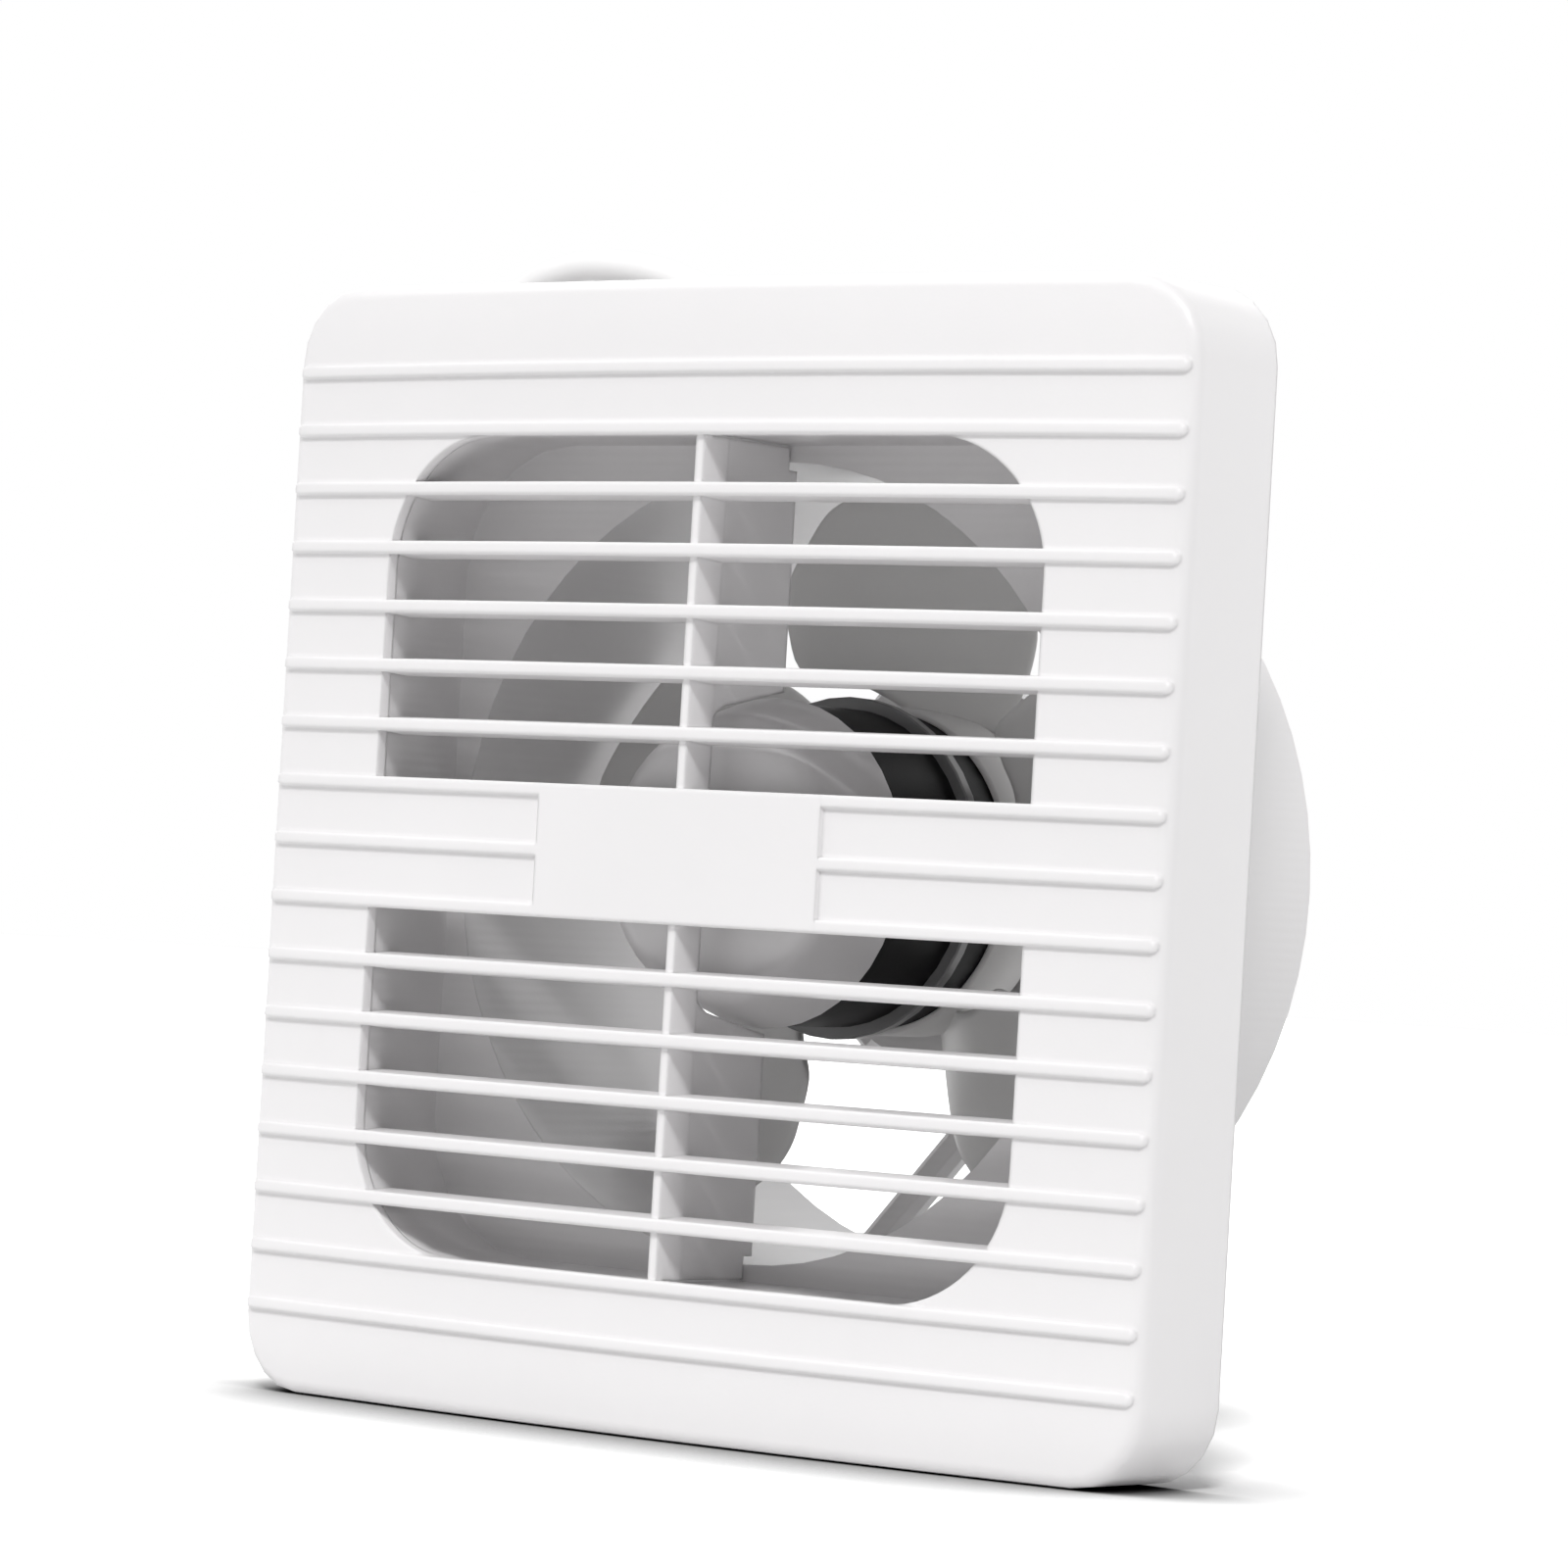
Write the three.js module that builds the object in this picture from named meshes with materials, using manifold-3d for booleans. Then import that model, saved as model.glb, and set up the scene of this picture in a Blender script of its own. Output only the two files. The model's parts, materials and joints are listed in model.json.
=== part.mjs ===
// Window exhaust fan, 150 mm duct class, in millimetres.
// X runs right as seen from the front, Y into the wall, Z up. The fan's axis is along Y.
import * as THREE from 'three';
import { mergeVertices } from 'three/addons/utils/BufferGeometryUtils.js';
import Module from 'manifold-3d';

const wasm = await Module();
wasm.setup();

// ---------------------------------------------------------------- driving dimensions
const PANEL = 205; // side of the square cover
const CORNER_R = 14; // cover's corners, seen from the front
const EDGE_R = 2.3; // fillet between the cover's face and its sides
const CROWN = 5.7; // how far the face bows forward at its middle
const COVER_DEPTH = 23.1; // from the face's side edges to the skirt's rear edge
const WALL = 2.3; // skirt thickness
const SKIN = 2.4; // face thickness
const RIB_PITCH = 10.83;
const RIBS_EACH_SIDE = 8; // ribs above the middle one, and as many below
const RIB_HEIGHT = 2.4;
const RIB_PROUD = 0.9;
const RIB_END = 101; // where a rib's rounded end stops
const BAR_DEPTH = 7.2; // bars across the openings, measured back from the face
const BAR_REAR_HEIGHT = 3.3; // bars are thicker at the rear
const OPEN_CORNER_R = 24;
const PAD_HALF = 32.2; // bare raised pad on the middle band
const WEB = 1.8; // central web behind the bars
const WEB_THIN = 1.5; // its deep part
const WEB_REAR = 21.5; // rear edge of the web inside the duct's mouth
const POST_R = 2.5; // posts that locate the cover
const POST_X = 88.3;
const POST_Z = 60;

const PLATE_Y = 19.7; // front of the housing's plate
const PLATE = 2.4; // its thickness
const FRAME_WALL = 1.6;
const TUBE_R = 74.33; // duct tube, outside
const TUBE_WALL = 1.85;
const MOUTH_STEP = 2.37; // the mouth is this much smaller than the tube
const TUBE_END = 84.25;
const STRUT_Y = 76.5; // front of the motor plate and of its struts
const STRUT_DEPTH = 5;
const STRUT_WIDTH = 6;
const STRUT_OFFSET = 35.3; // struts' centre line from the axis
const STRUT_FOOT = -42; // degrees from +X, seen from the front
const STRUT_FOOT_END = 8; // how far a strut runs past its foot on the motor plate
const MOTOR_PLATE_R = 36;
const MOTOR_PLATE = 2.6;

const CAP_FRONT = 4.7;
const CAP_R = 26.3; // cap at its front shoulder
const CAP_RIM_R = 29.67;
const CAP_RIM_Y = 21.25;
const CAP_ROUND = 5; // radius of its shoulder
const CAN_R = 29;
const CAN_FRONT = 21.6;
const CAN_REAR = 63.5;
const CAN_WALL = 1.2;
const BEAD_FRONT = 41.4; // rolled bead round the can
const BEAD_WIDTH = 2.4;
const BEAD_PROUD = 2.2;
const RING_WALL = 1.15; // impeller's ring, behind the bead
const RING_FRONT = 52.7;
const CAP_BORE = 10; // front of the cap's bore for the shaft
const BOSS_REAR = 31; // rear of the boss inside the can
const SHAFT_R = 3;
const BUSH_R = 5;
const BUSH_LENGTH = 7.5;
const FRONT_BUSH = 32.5;
const REAR_BUSH = 62;
const CLIP_Y = 70; // clip behind the rear bush
const BEARING_R = 6.2; // bearing tube, outside
const STATOR_R = 22.1;
const STATOR_FRONT = 39;
const STATOR_REAR = 60;
const FLANGE_R = 24;
const FLANGE_LIP_Y = 66;
const FLANGE_WALL = 1.8;
const FLANGE_PLATE = 3.5;
const MOTOR_SCREW_PCR = 16;
const MOTOR_SCREW_R = 1.4;

const BLADES = 5;
const BLADE_CREST = 113; // degrees, first blade's leading edge
const BLADE_CREST_Y = 47;
const BLADE_RISE = 0.38; // millimetres towards the rear per degree clockwise
const BLADE_CAMBER = 0.0016; // added rise per degree squared
const BLADE_ROOT = 2;
const BLADE_TIP = 1.4;
const TIP_GAP = 2.78; // blade tips to the tube
// share of the way from root to tip, then both edges in degrees clockwise of the crest
const BLADE_OUTLINE = [
  [0, 25.5, 51], [0.0525, 19.9, 51], [0.1175, 13.1, 50.8], [0.1725, 4.9, 50.6],
  [0.2575, -0.8, 50.5], [0.445, -0.8, 49], [0.5575, -0.2, 47], [0.6825, 2.3, 43],
  [0.8175, 6.5, 41.5], [0.9175, 9.6, 40.5], [0.9725, 12.6, 38.5], [1, 17, 35],
];

// terminal box on the plate's rear, above the tube
const BOX_X0 = 26;
const BOX_LENGTH = 34;
const BOX_LIFT = 3.2; // above the tube
const BOX_HEIGHT = 19;
const BOX_REAR = 43.5;
const BOX_WALL = 1.8;

// clearances
const SEAT = 0.05; // pressed or seated round pieces
const RUN = 0.04; // shaft in its bushes
const FIT = 0.4; // cover to housing
const SLIP = 0.3; // pieces that slide in by hand

// ---------------------------------------------------------------- worked out from them
const HALF = PANEL / 2;
const AXIS_Z = HALF;
const OPEN_HALF = (RIBS_EACH_SIDE - 1) * RIB_PITCH - RIB_HEIGHT / 2;
const BAND_HALF = RIB_PITCH + RIB_HEIGHT / 2;
const FRAME_HALF = OPEN_HALF + FIT;
const PLATE_HALF = HALF - WALL - SLIP;
const PLATE_CORNER_R = CORNER_R - WALL - SLIP;
const TUBE_IN = TUBE_R - TUBE_WALL;
const MOUTH_R = TUBE_R - MOUTH_STEP;
const BOX_X1 = BOX_X0 + BOX_LENGTH;
const BOX_Z = AXIS_Z + TUBE_R + BOX_LIFT + BOX_HEIGHT / 2;
const ROUND = 40; // facets of the round motor pieces
const SMALL = 20; // facets of the shaft, its bushes and the like
const DUCT_FACETS = 64;

const crown = (x) => -CROWN * (1 - (x / HALF) ** 2);
const rad = THREE.MathUtils.degToRad;

// ---------------------------------------------------------------- solids
function signedVolume(position, index) {
  const [a, b, c] = [new THREE.Vector3(), new THREE.Vector3(), new THREE.Vector3()];
  let sum = 0;
  for (let i = 0; i < index.length; i += 3) {
    a.fromBufferAttribute(position, index[i]);
    b.fromBufferAttribute(position, index[i + 1]);
    c.fromBufferAttribute(position, index[i + 2]);
    sum += a.dot(b.cross(c));
  }
  return sum / 6;
}

// shared vertices, no empty triangles, faces out
function closed(geometry) {
  const plain = geometry.clone();
  plain.deleteAttribute('normal');
  plain.deleteAttribute('uv');
  plain.clearGroups();
  const merged = mergeVertices(plain, 1e-4);
  const all = merged.index.array;
  const index = [];
  for (let i = 0; i < all.length; i += 3) {
    const [a, b, c] = [all[i], all[i + 1], all[i + 2]];
    if (a !== b && b !== c && c !== a) index.push(a, b, c);
  }
  if (signedVolume(merged.attributes.position, index) < 0) index.reverse();
  merged.setIndex(index);
  return merged;
}

function solid(geometry) {
  const ready = closed(geometry);
  return new wasm.Manifold(new wasm.Mesh({
    numProp: 3,
    vertProperties: new Float32Array(ready.attributes.position.array),
    triVerts: new Uint32Array(ready.index.array),
  }));
}

function surface(manifold) {
  const mesh = manifold.getMesh();
  const geometry = new THREE.BufferGeometry();
  const vertices = new Float32Array(mesh.vertProperties);
  geometry.setAttribute('position', new THREE.BufferAttribute(vertices, 3));
  geometry.setIndex(Array.from(mesh.triVerts));
  return geometry;
}

const join = (start, pieces) => pieces.reduce((all, piece) => all.add(solid(piece)), start);
const cut = (start, pieces) => pieces.reduce((all, piece) => all.subtract(solid(piece)), start);

// ---------------------------------------------------------------- shapes
// revolved about the fan's axis from [radius, y] pairs
function turned(profile, facets = ROUND) {
  const points = profile.map(([r, y]) => new THREE.Vector2(r, y));
  return new THREE.LatheGeometry(points, facets);
}

// a closed ring of rectangular section about the fan's axis
function hoop(inner, outer, y0, y1, facets = ROUND) {
  const profile = [[inner, y0], [outer, y0], [outer, y1], [inner, y1], [inner, y0]];
  return turned(profile, facets);
}

function rodY(radius, y0, y1, x = 0, z = 0, facets = 14) {
  return new THREE.CylinderGeometry(radius, radius, y1 - y0, facets).translate(x, (y0 + y1) / 2, z);
}

function block(x0, x1, y0, y1, z0, z1) {
  const geometry = new THREE.BoxGeometry(x1 - x0, y1 - y0, z1 - z0);
  return geometry.translate((x0 + x1) / 2, (y0 + y1) / 2, (z0 + z1) / 2);
}

// a shape drawn in X and Z, extruded along Y
function prismY(shape, y0, y1, curveSegments = 8) {
  const settings = { depth: y1 - y0, bevelEnabled: false, curveSegments };
  return new THREE.ExtrudeGeometry(shape, settings).rotateX(Math.PI / 2).translate(0, y1, 0);
}

// a shape drawn in Y and Z, extruded along X
function prismX(shape, x0, x1, curveSegments = 8) {
  const settings = { depth: x1 - x0, bevelEnabled: false, curveSegments };
  const turn = new THREE.Matrix4().makeBasis(
    new THREE.Vector3(0, 1, 0),
    new THREE.Vector3(0, 0, 1),
    new THREE.Vector3(1, 0, 0),
  );
  return new THREE.ExtrudeGeometry(shape, settings).applyMatrix4(turn).translate(x0, 0, 0);
}

function polygon(points) {
  return new THREE.Shape(points.map(([a, b]) => new THREE.Vector2(a, b)));
}

function roundedSquare(half, radius) {
  const straight = half - radius;
  const shape = new THREE.Shape();
  shape.moveTo(straight, -half);
  shape.absarc(straight, -straight, radius, -Math.PI / 2, 0);
  shape.absarc(straight, straight, radius, 0, Math.PI / 2);
  shape.absarc(-straight, straight, radius, Math.PI / 2, Math.PI);
  shape.absarc(-straight, -straight, radius, Math.PI, 1.5 * Math.PI);
  return shape;
}

// ---------------------------------------------------------------- lofts that follow the bowed face
const CORNER_STEPS = 5;
const FACE_STEPS = 6;

// a rounded square as one loop, its upper points first, each at its own depth
function faceLoop(half, radius, depthAt) {
  const straight = half - radius;
  const upper = [];
  for (let i = 0; i <= CORNER_STEPS; i += 1) {
    const angle = (i / CORNER_STEPS) * Math.PI / 2;
    upper.push([straight + radius * Math.cos(angle), straight + radius * Math.sin(angle)]);
  }
  for (let i = 1; i < FACE_STEPS; i += 1) {
    upper.push([straight * (1 - 2 * i / FACE_STEPS), half]);
  }
  for (let i = 0; i <= CORNER_STEPS; i += 1) {
    const angle = (1 + i / CORNER_STEPS) * Math.PI / 2;
    upper.push([-straight + radius * Math.cos(angle), straight + radius * Math.sin(angle)]);
  }
  const lower = upper.map(([x, z]) => [x, -z]).reverse();
  return [...upper, ...lower].map(([x, z]) => new THREE.Vector3(x, depthAt(x), z));
}

// walls between loops of equal count, and strips or fans over the two ends
function loft(loops, strips) {
  const count = loops[0].length;
  const index = [];
  for (let row = 0; row + 1 < loops.length; row += 1) {
    for (let i = 0; i < count; i += 1) {
      const [a, b] = [row * count + i, row * count + (i + 1) % count];
      index.push(a, b, b + count, a, b + count, a + count);
    }
  }
  const last = (loops.length - 1) * count;
  for (let i = 0; strips && i + 1 < count / 2; i += 1) {
    const [a, b, c, d] = [i, i + 1, count - 2 - i, count - 1 - i];
    index.push(a, c, b, a, d, c);
    index.push(last + a, last + b, last + c, last + a, last + c, last + d);
  }
  for (let i = 1; !strips && i + 1 < count; i += 1) {
    index.push(0, i + 1, i, last, last + i, last + i + 1);
  }
  const geometry = new THREE.BufferGeometry().setFromPoints(loops.flat());
  geometry.setIndex(index);
  return geometry;
}

// ---------------------------------------------------------------- front cover
function coverShell() {
  const outside = [0, 30, 60, 90].map((degrees) => {
    const inset = EDGE_R * (1 - Math.sin(rad(degrees)));
    const drop = EDGE_R * (1 - Math.cos(rad(degrees)));
    return faceLoop(HALF - inset, CORNER_R - inset, (x) => crown(x) + drop);
  });
  outside.push(faceLoop(HALF, CORNER_R, () => COVER_DEPTH));
  const soft = EDGE_R / 2;
  const inside = [0, 45, 90].map((degrees) => {
    const inset = WALL + soft * (1 - Math.sin(rad(degrees)));
    const drop = SKIN + soft * (1 - Math.cos(rad(degrees)));
    return faceLoop(HALF - inset, CORNER_R - inset, (x) => crown(x) + drop);
  });
  inside.push(faceLoop(HALF - WALL, CORNER_R - WALL, () => COVER_DEPTH + 1));
  return solid(loft(outside, true)).subtract(solid(loft(inside, true)));
}

// the upper opening, square at the band and rounded at its outer corners
function openingBlock(y0, y1) {
  const straight = OPEN_HALF - OPEN_CORNER_R;
  const shape = new THREE.Shape();
  shape.moveTo(-OPEN_HALF, BAND_HALF);
  shape.lineTo(OPEN_HALF, BAND_HALF);
  shape.absarc(straight, straight, OPEN_CORNER_R, 0, Math.PI / 2);
  shape.absarc(-straight, straight, OPEN_CORNER_R, Math.PI / 2, Math.PI);
  return prismY(shape, y0, y1, 8);
}

function bothOpenings(y0, y1) {
  return [openingBlock(y0, y1), openingBlock(y0, y1).scale(1, 1, -1)];
}

// the face's own columns between two x, so that ribs and bars bend where the face does
function columnsWithin(x0, x1) {
  const columns = [];
  for (let i = 0; i <= FACE_STEPS; i += 1) columns.push((HALF - CORNER_R) * (2 * i / FACE_STEPS - 1));
  return columns.filter((x) => x > x0 + 1 && x < x1 - 1);
}

// a rib's cross-section at one x, shrunk near its rounded ends
function ribLoop(x, z, shrink) {
  const y = crown(x);
  const proud = RIB_PROUD * shrink;
  const tall = RIB_HEIGHT / 2 * shrink;
  const edge = 0.35 * shrink;
  return [
    [y - proud, z - tall + edge], [y - proud, z + tall - edge], [y - proud + edge, z + tall],
    [y + 1, z + tall], [y + 1, z - tall], [y - proud + edge, z - tall],
  ].map(([depth, height]) => new THREE.Vector3(x, depth, height));
}

function rib(z, from, to) {
  const round = RIB_HEIGHT / 2;
  const stations = [];
  const ends = [[0, 0.35], [0.3 * round, 0.75]];
  if (from === -RIB_END) ends.forEach(([step, shrink]) => stations.push([from + step, shrink]));
  const [x0, x1] = [from === -RIB_END ? from + round : from, to === RIB_END ? to - round : to];
  for (const x of [x0, ...columnsWithin(x0, x1), x1]) stations.push([x, 1]);
  if (to === RIB_END) ends.reverse().forEach(([step, shrink]) => stations.push([to - step, shrink]));
  return loft(stations.map(([x, shrink]) => ribLoop(x, z, shrink)), false);
}

// the deep part of a bar, thicker towards the rear
function barBack(z) {
  const end = OPEN_HALF + 1;
  const stations = [-end, ...columnsWithin(-end, end), end];
  const [front, rear] = [RIB_HEIGHT / 2 - 0.03, BAR_REAR_HEIGHT / 2];
  return loft(stations.map((x) => [
    [0.3, -front], [0.3, front], [BAR_DEPTH - 0.4, rear], [BAR_DEPTH, rear - 0.4],
    [BAR_DEPTH, 0.4 - rear], [BAR_DEPTH - 0.4, -rear],
  ].map(([depth, height]) => new THREE.Vector3(x, crown(x) + depth, z + height))), false);
}

// the web's deep part above the hub; its lower edge follows the hub cap
function webDeep() {
  const step = PLATE_Y - SLIP - 0.2;
  const front = crown(0) + BAR_DEPTH - 0.4;
  return polygon([
    [front, OPEN_HALF], [step, OPEN_HALF], [step, MOUTH_R - 1.5], [WEB_REAR, MOUTH_R - 1.5],
    [WEB_REAR, CAP_RIM_R + 1], [17.7, CAP_RIM_R + 0.3], [11.6, 28.6], [4.8, 27.2], [3, 26.2],
    [front, 24.4],
  ]);
}

function frontCover() {
  const ribs = [];
  const bars = [];
  for (let k = -RIBS_EACH_SIDE; k <= RIBS_EACH_SIDE; k += 1) {
    const z = k * RIB_PITCH;
    if (k === 0) {
      ribs.push(rib(z, -RIB_END, 1 - PAD_HALF), rib(z, PAD_HALF - 1, RIB_END));
    } else {
      ribs.push(rib(z, -RIB_END, RIB_END));
    }
    if (Math.abs(k) > 1 && Math.abs(k) < RIBS_EACH_SIDE - 1) bars.push(barBack(z));
  }
  const face = crown(0);
  const web = block(-WEB / 2, WEB / 2, face + 0.3, face + BAR_DEPTH + 0.2, -OPEN_HALF, OPEN_HALF);
  const webEnds = [-1, 1].map((side) => {
    const low = side > 0 ? OPEN_HALF - 1 : -OPEN_HALF - 1;
    return block(-WEB / 2, WEB / 2, face + 0.3, face + SKIN - 0.3, low, low + 2);
  });
  const deepUpper = prismX(webDeep(), -WEB_THIN / 2, WEB_THIN / 2);
  const deepLower = deepUpper.clone().scale(1, 1, -1);
  const padColumns = [-PAD_HALF, ...columnsWithin(-PAD_HALF, PAD_HALF), PAD_HALF];
  const padLoops = padColumns.map((x) => [
    [-RIB_PROUD, -BAND_HALF + 0.2], [-RIB_PROUD, BAND_HALF - 0.2], [1, BAND_HALF - 0.2],
    [1, -BAND_HALF + 0.2],
  ].map(([depth, height]) => new THREE.Vector3(x, crown(x) + depth, height)));
  const posts = [];
  for (const x of [-POST_X, POST_X]) {
    for (const z of [-POST_Z, POST_Z]) posts.push(rodY(POST_R, crown(x) + 1.2, PLATE_Y - 3, x, z));
  }
  const open = cut(coverShell(), bothOpenings(-20, 10));
  const window = bothOpenings(-20, 12).map(solid);
  const deepBars = join(solid(bars[0]), bars.slice(1));
  const clipped = deepBars.intersect(window[0].add(window[1]));
  return surface(join(open.add(clipped), [
    ...ribs, web, ...webEnds, deepUpper, deepLower, loft(padLoops, false), ...posts,
  ]));
}

// ---------------------------------------------------------------- housing
function innerFrame() {
  const behindFace = (x) => crown(x) + SKIN + FIT;
  const walls = [FRAME_HALF + FRAME_WALL, FRAME_HALF].map((half) => {
    const radius = OPEN_CORNER_R + half - OPEN_HALF;
    const extra = half === FRAME_HALF ? 1 : 0;
    return solid(loft([
      faceLoop(half, radius, (x) => behindFace(x) - extra),
      faceLoop(half, radius, () => PLATE_Y + 1 + extra),
    ], true));
  });
  return walls[0].subtract(walls[1]);
}

function ductTube() {
  return turned([
    [MOUTH_R, PLATE_Y], [MOUTH_R + 0.2, PLATE_Y + 1.6], [TUBE_IN, PLATE_Y + 5],
    [TUBE_IN, TUBE_END - 0.5], [TUBE_IN + 0.5, TUBE_END], [TUBE_R - 0.4, TUBE_END],
    [TUBE_R, TUBE_END - 0.4], [TUBE_R, PLATE_Y + PLATE], [TUBE_R, PLATE_Y + 1],
    [TUBE_R, PLATE_Y], [MOUTH_R, PLATE_Y],
  ], DUCT_FACETS);
}

function struts() {
  return [0, 1, 2, 3].map((k) => {
    const [low, high] = [STRUT_OFFSET - STRUT_WIDTH / 2, STRUT_OFFSET + STRUT_WIDTH / 2];
    const [front, rear, bevel] = [STRUT_Y, STRUT_Y + STRUT_DEPTH, 1.4];
    const section = polygon([
      [low, front + bevel], [low + bevel, front], [high - bevel, front], [high, front + bevel],
      [high, rear - bevel], [high - bevel, rear], [low + bevel, rear], [low, rear - bevel],
    ]);
    const bar = new THREE.ExtrudeGeometry(section, { depth: TUBE_IN + STRUT_FOOT_END, bevelEnabled: false });
    return bar.translate(0, 0, -TUBE_IN).rotateY(-rad(STRUT_FOOT + 90 * k));
  });
}

const motorScrewPlaces = [45, 135, 225, 315].map((degrees) => [
  MOTOR_SCREW_PCR * Math.cos(rad(degrees)), MOTOR_SCREW_PCR * Math.sin(rad(degrees)),
]);
const boxZ = BOX_Z - AXIS_Z;
const BOX_HALF = BOX_HEIGHT / 2;
const BOX_PLATE = PLATE_Y + PLATE;
const CLAMP_X = BOX_X0 + 8;
const BLOCK_X0 = BOX_X0 + 14; // terminal block
const BLOCK_X1 = BLOCK_X0 + 12.5;
const CLAMP_Z = 5.6; // clamp screws above and below the lead
const LID_SCREW_X = BOX_X1 - 4;
const LID_SCREW_Z = 5.2;
const GLAND_R = 5;
const LEAD_Y = 30; // supply lead's centre in the box
const MOTOR_LEAD_R = 1.5;
const CLAMP_Y = 33.5; // clamp bar's underside
const CLAMP_BAR = 2.8; // its thickness
const BLOCK_REAR = 35; // terminal block's face towards the lid
const LID = 1.8;
const FIXING_R = 2.3; // fixing holes in the plate's corners

function terminalBox() {
  const outside = block(BOX_X0, BOX_X1, PLATE_Y + 1, BOX_REAR, boxZ - BOX_HALF, boxZ + BOX_HALF);
  const [t, in0, in1] = [BOX_WALL, boxZ - BOX_HALF + BOX_WALL, boxZ + BOX_HALF - BOX_WALL];
  const inside = block(BOX_X0 + t, BOX_X1 - t, BOX_PLATE, BOX_REAR + 1, in0, in1);
  const box = cut(solid(outside), [inside]);
  const clampPosts = [-CLAMP_Z, CLAMP_Z].map((dz) => rodY(2, BOX_PLATE - 1, CLAMP_Y, CLAMP_X, boxZ + dz));
  const lidPosts = [-LID_SCREW_Z, LID_SCREW_Z].map((dz) => (
    rodY(2.6, BOX_PLATE - 1, BOX_REAR, LID_SCREW_X, boxZ + dz)
  ));
  const clampHoles = [-CLAMP_Z, CLAMP_Z].map((dz) => (
    rodY(1.15, CLAMP_Y - 6.5, CLAMP_Y + 1, CLAMP_X, boxZ + dz, 12)
  ));
  const lidHoles = [-LID_SCREW_Z, LID_SCREW_Z].map((dz) => (
    rodY(1.25, BOX_REAR - 9, BOX_REAR + 1, LID_SCREW_X, boxZ + dz, 16)
  ));
  const gland = new THREE.CylinderGeometry(GLAND_R, GLAND_R, 6, SMALL).rotateZ(Math.PI / 2);
  gland.translate(BOX_X0 + t / 2, LEAD_Y, boxZ);
  return cut(join(box, [...clampPosts, ...lidPosts]), [...clampHoles, ...lidHoles, gland]);
}

// where the motor's lead passes the tube wall, along the upper strut
const leadStrut = rad(STRUT_FOOT + 180);
const strutFoot = new THREE.Vector2(Math.cos(leadStrut), Math.sin(leadStrut)).multiplyScalar(STRUT_OFFSET);
const strutRun = new THREE.Vector2(Math.sin(leadStrut), -Math.cos(leadStrut));
const MOTOR_LEAD_Y = STRUT_Y - MOTOR_LEAD_R - 0.7;

function leadHole() {
  const hole = new THREE.CylinderGeometry(2.5, 2.5, 24, 20);
  const along = new THREE.Vector3(strutRun.x, 0, strutRun.y);
  hole.applyQuaternion(new THREE.Quaternion().setFromUnitVectors(new THREE.Vector3(0, 1, 0), along));
  const reach = Math.sqrt(TUBE_R ** 2 - STRUT_OFFSET ** 2);
  const at = strutFoot.clone().addScaledVector(strutRun, reach);
  return hole.translate(at.x, MOTOR_LEAD_Y, at.y);
}

function housing() {
  const block0 = prismY(roundedSquare(PLATE_HALF, PLATE_CORNER_R), PLATE_Y, COVER_DEPTH);
  const recess = prismY(roundedSquare(PLATE_HALF - 2.4, PLATE_CORNER_R - 2.4), BOX_PLATE, 40);
  const mouth = rodY(TUBE_R - 0.8, 10, 30, 0, 0, DUCT_FACETS);
  const plate = cut(solid(block0), [recess]).add(innerFrame()).subtract(solid(mouth));
  const sockets = [];
  const bores = [];
  for (const x of [-POST_X, POST_X]) {
    for (const z of [-POST_Z, POST_Z]) {
      sockets.push(rodY(POST_R + SLIP + 1.8, 9, PLATE_Y + 1, x, z));
      bores.push(rodY(POST_R + SLIP, 5, PLATE_Y - 2, x, z));
    }
    for (const z of [-POST_X, POST_X]) bores.push(rodY(FIXING_R, PLATE_Y - 10, PLATE_Y + 10, x, z));
  }
  const plateBack = [
    rodY(MOTOR_PLATE_R, STRUT_Y, STRUT_Y + MOTOR_PLATE, 0, 0, ROUND),
    hoop(MOTOR_PLATE_R - 2, MOTOR_PLATE_R, STRUT_Y + 0.5, STRUT_Y + STRUT_DEPTH - 0.6),
  ];
  const reach = solid(rodY(TUBE_IN + 0.9, STRUT_Y - 1, TUBE_END, 0, 0, DUCT_FACETS));
  const arms = join(solid(struts()[0]), struts().slice(1)).intersect(reach);
  const insideRim = solid(rodY(MOTOR_PLATE_R - 1, STRUT_Y + MOTOR_PLATE - 0.2, 90, 0, 0, ROUND));
  const motorMount = join(arms.subtract(insideRim), plateBack);
  const screwHoles = motorScrewPlaces.map(([x, z]) => (
    rodY(MOTOR_SCREW_R + SLIP, STRUT_Y - 5, STRUT_Y + 10, x, z, 12)
  ));
  const whole = join(plate, [ductTube(), ...sockets]).add(motorMount).add(terminalBox());
  return surface(cut(whole, [...bores, ...screwHoles, leadHole()]));
}

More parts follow.
